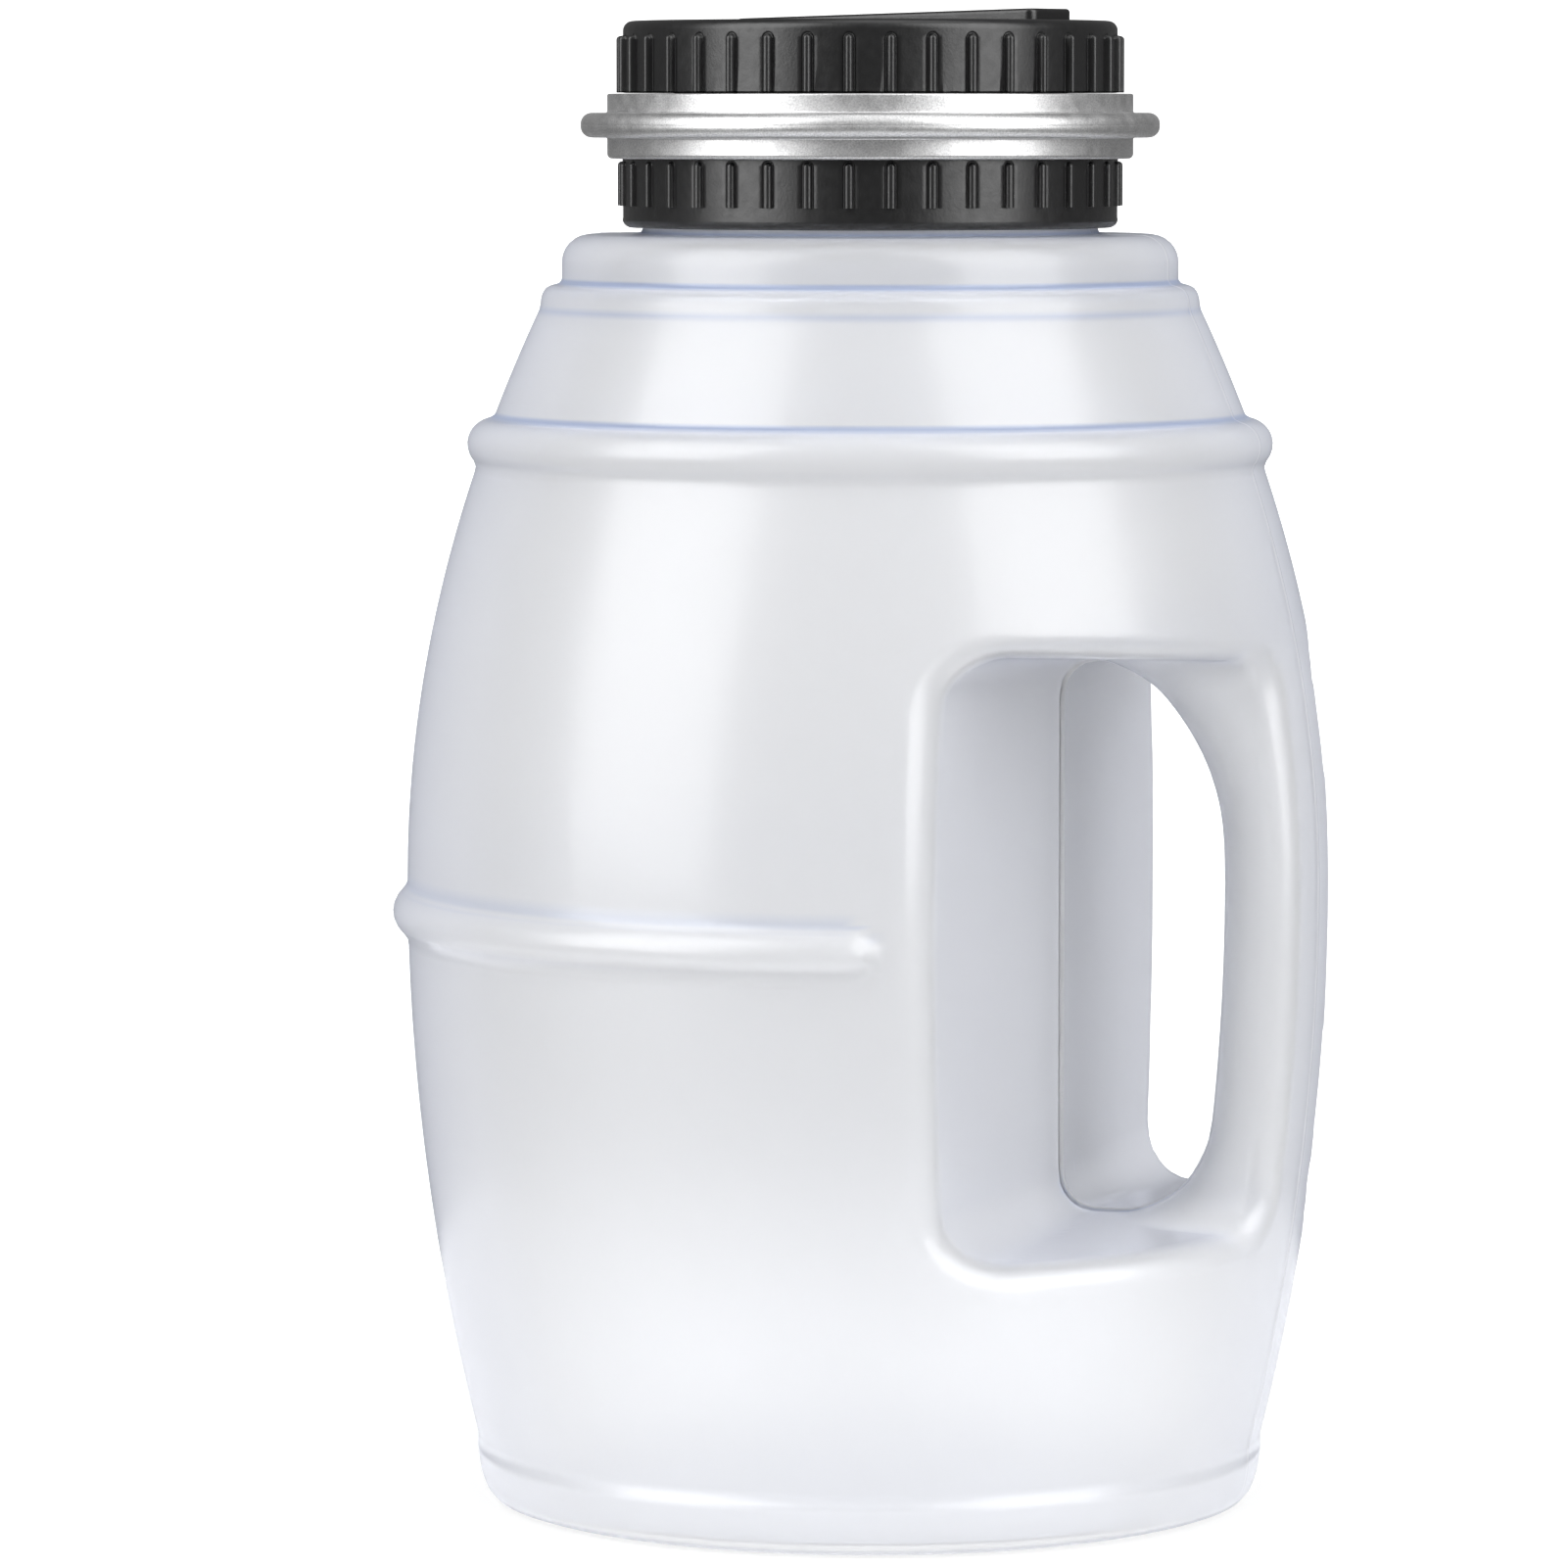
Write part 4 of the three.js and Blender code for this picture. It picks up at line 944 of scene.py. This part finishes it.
def make_slot_plate(material):
    axes = [spaced(-28.6, 28.6, 0.33), spaced(SLOT["w"] - 6.45, SLOT["w"] + 6.45, 0.27)]
    plug, wedge = spaced(INSERT["low"] - 0.3, 233.6, 0.5), spaced(233.8, CAP["high"] + 2.1, 0.2)
    axes.append(np.concatenate([plug, wedge]))
    blob_piece("slot_surround", slot_plate_field, axes, material, "lid", "slot_plate", rounds=6)


def button_field(side):
    """The field of a key with its sign cut into it in outline: a plus for side -1, a minus for side 1."""

    def field(p):
        u, w, z = p.T
        u, w = u - side * BUTTON["u"], w - BUTTON["w"]
        r = np.hypot(u, w)
        under = CAP["high"] - CAP["top"]
        crown = BUTTON["crown"] * (1 - (r / BUTTON["radius"]) ** 2)
        key = round_max(r - BUTTON["radius"], z - BUTTON["top"] - crown, 0.45)
        key = np.maximum(key, under - 0.4 - z)
        flange = round_max(r - BUTTON["flange"], np.abs(z - under + 0.8) - 0.6, 0.15)
        post = np.maximum(r - BUTTON["post"], np.maximum(under - 2.6 - z, z - under))
        body = np.minimum(np.minimum(key, flange), post)
        u, w = np.abs(u), np.abs(w)
        if side > 0:
            sign = box_2d(u - SIGN["bar_reach"], w - SIGN["bar_half_width"], 0.25)
        else:
            level = box_2d(u - SIGN["reach"], w - SIGN["half_width"], 0.2)
            upright = box_2d(u - SIGN["half_width"], w - SIGN["reach"], 0.2)
            sign = round_min(level, upright, 0.1)
        cut = np.maximum(np.abs(sign) - SIGN["half_line"], BUTTON["top"] - SIGN["depth"] - z)
        return round_max(body, -cut, 0.08)

    return field


def make_buttons(material):
    under = CAP["high"] - CAP["top"]
    half = BUTTON["flange"] + 0.2
    for name, side in (("plus", -1), ("minus", 1)):
        u = side * BUTTON["u"]
        axes = [spaced(u - half, u + half, 0.14), spaced(BUTTON["w"] - half, BUTTON["w"] + half, 0.14)]
        stem, crown = spaced(under - 2.8, 233.8, 0.3), spaced(233.95, BUTTON["top"] + 0.3, 0.12)
        axes.append(np.concatenate([stem, crown]))
        blob_piece(f"{name}_key_top", button_field(side), axes, material, f"{name}_key", f"{name}_button")


def nose_field(p):
    """The lever's nose: two round ridges with a groove between them."""
    u, w, z = p.T
    left, high, low = LEVER["u"] - LEVER["arm"], LEVER["z"] + LEVER["nose_rise"], LEVER["z"] - 1.1
    big = np.hypot(u - left - 0.2, z - high) - NOSE["big"]
    small = np.hypot(u - left + 1.6, z - high + 0.4) - NOSE["small"]
    stem = box_2d(np.abs(u - left - 0.4) - 1.35, np.abs(z - (low + high) / 2) - (high - low) / 2, 0.3)
    side = round_min(round_min(big, small, 0.25), stem, 0.5)
    return round_max(side, np.abs(w - SLOT["w"]) - LEVER["half_width"], 0.3)


def arm_field(p):
    """The lever's arm: a bar with a channel along its top, a diagonal step by the nose, and an eye."""
    u, w, z = p.T
    left, pivot, mid = LEVER["u"] - LEVER["arm"], LEVER["u"], LEVER["z"]
    top = mid + LEVER["top"] - 0.5 * np.clip((left + 3.4 + (w - SLOT["w"]) * 0.8 - u) / 0.5, 0, 1)
    bar = np.maximum(np.maximum(left + 2.05 - u, u - pivot), np.maximum(z - top, mid - 1.7 - z))
    across = np.maximum(np.abs(u - left - 5.1) - 0.16, mid + LEVER["top"] - 0.35 - z)
    start, end = left + 5.6, pivot - 1
    channel = box_2d(np.abs(u - (start + end) / 2) - (end - start) / 2, np.abs(w - SLOT["w"]) - 0.45, 0.3)
    cut = np.minimum(across, np.maximum(channel, mid + LEVER["top"] - 0.3 - z))
    eye = np.hypot(u - pivot, z - mid) - LEVER["eye"]
    body = round_max(round_min(bar, eye, 0.4), np.abs(w - SLOT["w"]) - LEVER["half_width"], 0.3)
    body = round_max(body, -cut, 0.08)
    return round_max(body, LEVER["pin"] - np.hypot(u - pivot, z - mid), 0.1)


def make_lever(grey, black):
    left, high = LEVER["u"] - LEVER["arm"], LEVER["z"] + LEVER["nose_rise"]
    w_axis = spaced(SLOT["w"] - 1.6, SLOT["w"] + 1.6, 0.16)
    axes = [spaced(left - 3.1, left + 2.0, 0.15), w_axis, spaced(LEVER["z"] - 1.3, high + 1.8, 0.15)]
    blob_piece("lever_tip", nose_field, axes, black, "lever", "lever_nose")
    z_axis = spaced(LEVER["z"] - 2.3, LEVER["z"] + 2.9, 0.15)
    axes = [spaced(left + 1.9, LEVER["u"] + 2.3, 0.17), w_axis, z_axis]
    blob_piece("lever_arm", arm_field, axes, grey, "lever", "coin_lever")


# ---------------------------------------------------------------- the display
PANEL_TOP = CAP["high"] - CAP["top"] - 1.2
INK = dict(height=0.03, stroke=1.12, gap=0.17, digit_width=4.05, digit_height=10.2)
SEGMENTS = {"0": "abcdef", "1": "bc", "5": "acdfg", "7": "abcf"}  # the bars that each digit lights
DIGITS = [("7", -5.5), ("0", -0.6), ("1", 4.4), ("0", 11.6), ("5", 16.8)]  # and where they stand along u
DOLLAR = dict(u=-15.8, radius=1.62, rise=1.72, stretch=1.15, stroke=1.15)
POINT = dict(u=8.1, half_width=0.62, low=-5.2, high=-4.1)


def segment_shapes():
    """The seven bars of a digit as outlines about its centre, with mitred ends that leave a gap."""
    x, y, t = INK["digit_width"] / 2, INK["digit_height"] / 2, INK["stroke"]
    g, k = INK["gap"], INK["gap"] * 1.4
    top = [(-x + k, y), (x - k, y), (x - t - g * 0.4, y - t), (-x + t + g * 0.4, y - t)]
    side = [(x, y - k), (x, k * 0.4), (x - t / 2, g * 0.2), (x - t, t / 2), (x - t, y - t - g * 0.4 - k * 0.3)]
    half = t / 2
    middle = [(-x + half + k, half), (x - half - k, half), (x - k * 0.9, 0), (x - half - k, -half)]
    middle += [(-x + half + k, -half), (-x + k * 0.9, 0)]
    return {
        "a": top,
        "b": side,
        "c": [(a, -b) for a, b in side],
        "d": [(a, -b) for a, b in top],
        "e": [(-a, -b) for a, b in side],
        "f": [(-a, b) for a, b in side],
        "g": middle,
    }


def stroke(points, width):
    """A thick line through points as quads."""
    points = np.asarray(points, float)
    along = unit(np.gradient(points, axis=0))
    side = np.stack([-along[:, 1], along[:, 0]], 1) * width / 2
    left, right = points + side, points - side
    return [[left[i], right[i], right[i + 1], left[i + 1]] for i in range(len(points) - 1)]


def upright_bar(half_width, low, high):
    return [(-half_width, high), (-half_width, low), (half_width, low), (half_width, high)]


def dollar_shapes():
    """An S of two arcs, with a thin bar through it that ends in two thicker ones."""
    r, rise = DOLLAR["radius"], DOLLAR["rise"]
    upper = np.radians(np.linspace(20, 270, 22))
    lower = np.radians(np.linspace(90, -160, 22))
    s = [(DOLLAR["stretch"] * r * math.cos(a), rise + r * math.sin(a)) for a in upper]
    s += [(DOLLAR["stretch"] * r * math.cos(a), -rise + r * math.sin(a)) for a in lower[1:]]
    bars = [upright_bar(0.32, 3.2, 4.4), upright_bar(0.32, -4.4, -3.2), upright_bar(0.2, -3.3, 3.3)]
    return stroke(s, DOLLAR["stroke"]) + bars


def ink_piece(name, shapes, material, height):
    """Flat shapes on the panel, as thin closed prisms."""
    vertices, faces = [], []
    for shape in shapes:
        area = sum(a[0] * b[1] - b[0] * a[1] for a, b in zip(shape, list(shape[1:]) + [shape[0]]))
        shape = list(shape) if area > 0 else list(shape)[::-1]
        for z in (PANEL_TOP + 0.01, PANEL_TOP + 0.01 + height):
            vertices += [(u, WINDOW["w"] + w, z) for u, w in shape]
        count = len(shape)
        low = list(range(len(vertices) - 2 * count, len(vertices) - count))
        high = [v + count for v in low]
        faces += [low[::-1], high]
        faces += [[low[k - 1], low[k], high[k], high[k - 1]] for k in range(count)]
    piece = make_piece(name, vertices, faces, material, "lid", turn=LID_TURN)
    for polygon in piece.data.polygons:
        polygon.use_smooth = False
    return piece


def shifted(shape, u):
    return [(a + u, b) for a, b in shape]


def make_display(glass, window, dark, faint):
    """The panel and its window, with the sum on the panel and the bars that are off just to be seen."""
    lit, unlit = [], []
    for digit, u in DIGITS:
        for name, outline in segment_shapes().items():
            (lit if name in SEGMENTS[digit] else unlit).append(shifted(outline, u))
    lit.append(shifted(upright_bar(POINT["half_width"], POINT["low"], POINT["high"]), POINT["u"]))
    lit += [shifted(shape, DOLLAR["u"]) for shape in dollar_shapes()]
    ink_piece("display_digits", lit, dark, INK["height"])
    ink_piece("display_unlit", unlit, faint, INK["height"] / 2)
    refined("display_panel", "display_glass", glass, "lid", 0.25)
    refined("display_window", "window_pane", window, "lid", 0.3)


# ---------------------------------------------------------------- CAD shapes that only need finer edges
def refined(node, name, material, body, width=0.2, segments=2, smooth=40):
    """A copy of a CAD node with its flat faces joined up and its edges rounded."""
    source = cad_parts[node].data
    mesh = bpy.data.meshes.new(name)
    work = bmesh.new()
    work.from_mesh(source)
    bmesh.ops.remove_doubles(work, verts=work.verts, dist=1e-6)
    bmesh.ops.dissolve_limit(work, angle_limit=math.radians(1), verts=work.verts, edges=work.edges)
    work.to_mesh(mesh)
    work.free()
    mesh.materials.clear()
    mesh.materials.append(material)
    mesh.shade_smooth()
    mesh.set_sharp_from_angle(angle=math.radians(smooth))
    piece = bpy.data.objects.new(name, mesh)
    bpy.context.scene.collection.objects.link(piece)
    bevel = piece.modifiers.new("edges", "BEVEL")
    bevel.width = width * MM
    bevel.segments = segments
    bevel.limit_method = "ANGLE"
    bevel.angle_limit = math.radians(smooth)
    bevel.harden_normals = True
    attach(piece, body)
    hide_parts(node)
    return piece


def tube_piece(name, points, radius, material, body, node, sides=14):
    """A round wire through points in the lid's frame, with flat ends."""
    points = np.asarray(points, float)
    along = unit(np.gradient(points, axis=0))
    helper = np.array([0.13, 0.21, 0.97])
    first = unit(np.cross(along, helper))
    second = np.cross(along, first)
    turns = np.arange(sides) * 2 * math.pi / sides
    normals = np.cos(turns)[None, :, None] * first[:, None] + np.sin(turns)[None, :, None] * second[:, None]
    vertices = (points[:, None] + radius * normals).reshape(-1, 3)
    faces = []
    for i in range(len(points) - 1):
        for k in range(sides):
            n = (k + 1) % sides
            faces.append([i * sides + k, i * sides + n, (i + 1) * sides + n, (i + 1) * sides + k])
    faces.append(list(range(sides))[::-1])
    faces.append([(len(points) - 1) * sides + k for k in range(sides)])
    piece = make_piece(name, vertices, faces, material, body, [node], turn=LID_TURN)
    piece.data.set_sharp_from_angle(angle=math.radians(50))
    return piece


def smooth_path(points, steps=40):
    """A Catmull-Rom curve through points."""
    p = np.asarray(points, float)
    p = np.concatenate([[2 * p[0] - p[1]], p, [2 * p[-1] - p[-2]]])
    made = []
    for t in np.linspace(0, len(p) - 3, steps):
        i = min(int(t), len(p) - 4)
        f = t - i
        a, b, c, d = p[i:i + 4]
        square, cube = 2 * a - 5 * b + 4 * c - d, 3 * b - a - 3 * c + d
        made.append(0.5 * (2 * b + (c - a) * f + square * f**2 + cube * f**3))
    return made


def make_springs(nickel, steel):
    """The cells' conical springs and the lever's coil spring, each of three turns."""
    coils = np.linspace(0, 3, 3 * 36)
    c, s = np.cos(2 * math.pi * coils), np.sin(2 * math.pi * coils)
    radius = lerp(3.6, 2.1, coils / 3)
    for name, (w, side) in CELL_SPRINGS.items():
        reach = side * (BAY["half_length"] - 0.75 - 1.1 * coils)
        points = np.stack([reach, w + radius * s, BAY["z"] + side * radius * c], 1)
        tube_piece(f"{name}_wire", points, 0.28, nickel, "lid", name)
    radius, start, pitch = 1.5, SLOT["w"] - 3.65, 0.62
    points = np.stack([LEVER["u"] + radius * c, start - pitch * coils, LEVER["z"] + radius * s], 1)
    tube_piece("lever_spring_wire", points, 0.22, steel, "lid", "lever_spring")


# ---------------------------------------------------------------- everything
MATERIALS = {
    "jar": jar_plastic(),
    "lid_black": grained_black(),
    "black": plain_black(),
    "silver": silver_paint(),
    "gasket": moulded("gasket_rubber", colour(0.66, 0.66, 0.63), colour(0.74, 0.74, 0.71), 0.7),
    "window": window_plastic(),
    "display": panel_glass(),
    "ink": moulded("display_ink", colour(0.012, 0.022, 0.035), colour(0.02, 0.032, 0.048), 0.35, 300),
    "faint_ink": moulded("display_faint_ink", colour(0.46, 0.55, 0.495), colour(0.5, 0.59, 0.53), 0.35, 300),
    "white_plastic": moulded("white_plastic", colour(0.72, 0.72, 0.69), colour(0.80, 0.80, 0.77), 0.45),
    "elastomer": moulded("elastomer", colour(0.5, 0.48, 0.46), colour(0.62, 0.6, 0.57), 0.6, 200),
    "grey_plastic": moulded("grey_plastic", colour(0.42, 0.43, 0.43), colour(0.5, 0.51, 0.51), 0.35, 200),
    "board": board_lacquer(),
    "chip": moulded("potting", colour(0.006, 0.006, 0.007), colour(0.012, 0.012, 0.013), 0.34, 200),
    "steel": plated("zinc_steel", colour(0.42, 0.43, 0.45), colour(0.6, 0.61, 0.62), 0.35),
    "nickel": plated("nickel_plate", colour(0.55, 0.51, 0.44), colour(0.72, 0.68, 0.6), 0.18),
    "red_wire": moulded("red_insulation", colour(0.45, 0.012, 0.012), colour(0.55, 0.025, 0.02), 0.4, 300),
    "black_wire": moulded("black_insulation", colour(0.01, 0.01, 0.011), colour(0.018, 0.018, 0.019), 0.4, 300),
}

make_camera()
make_floor()
make_lights()
make_jar(MATERIALS["jar"])
make_cap(MATERIALS["lid_black"])
make_collar(MATERIALS["lid_black"])
make_ring(MATERIALS["silver"])
make_gasket(MATERIALS["gasket"])
make_slot_plate(MATERIALS["lid_black"])
make_buttons(MATERIALS["lid_black"])
make_lever(MATERIALS["grey_plastic"], MATERIALS["black"])
make_display(MATERIALS["display"], MATERIALS["window"], MATERIALS["ink"], MATERIALS["faint_ink"])
make_springs(MATERIALS["nickel"], MATERIALS["steel"])
for lead, insulation in (("positive_lead", "red_wire"), ("negative_lead", "black_wire")):
    tube_piece(f"{lead}_wire", smooth_path(LEADS[lead]), 0.5, MATERIALS[insulation], "lid", lead)
for number, side in ((1, 1), (2, -1)):
    refined(f"battery_{number}", f"cell_{number}", cell_sleeve(f"cell_{number}_sleeve", side), "lid", 0.35, 3)
REFINED = {  # the name, the material, the body and the width of the rounded edges
    "inner_housing": ("housing_shell", "black", "lid", 0.25),
    "battery_door": ("door_panel", "black", "door", 0.25),
    "circuit_board": ("board", "board", "lid", 0.08),
    "counter_chip": ("potted_chip", "chip", "lid", 0.5),
    "display_frame": ("panel_frame", "white_plastic", "lid", 0.25),
    "display_connector": ("zebra_strip", "elastomer", "lid", 0.15),
    "plus_switch": ("plus_switch_can", "steel", "lid", 0.2),
    "minus_switch": ("minus_switch_can", "steel", "lid", 0.2),
    "lever_pin": ("lever_axle", "steel", "lid", 0.12),
    "positive_contact": ("positive_tab", "nickel", "lid", 0.06),
    "spring_contact": ("spring_tab", "nickel", "lid", 0.06),
    "bridge_contact": ("bridge_tab", "nickel", "lid", 0.06),
    "door_screw": ("door_fastener", "steel", "door", 0.12),
}
REFINED.update({f"housing_screw_{k}": (f"housing_fastener_{k}", "steel", "lid", 0.12) for k in range(1, 5)})
for node, (name, material, body, width) in REFINED.items():
    refined(node, name, MATERIALS[material], body, width)
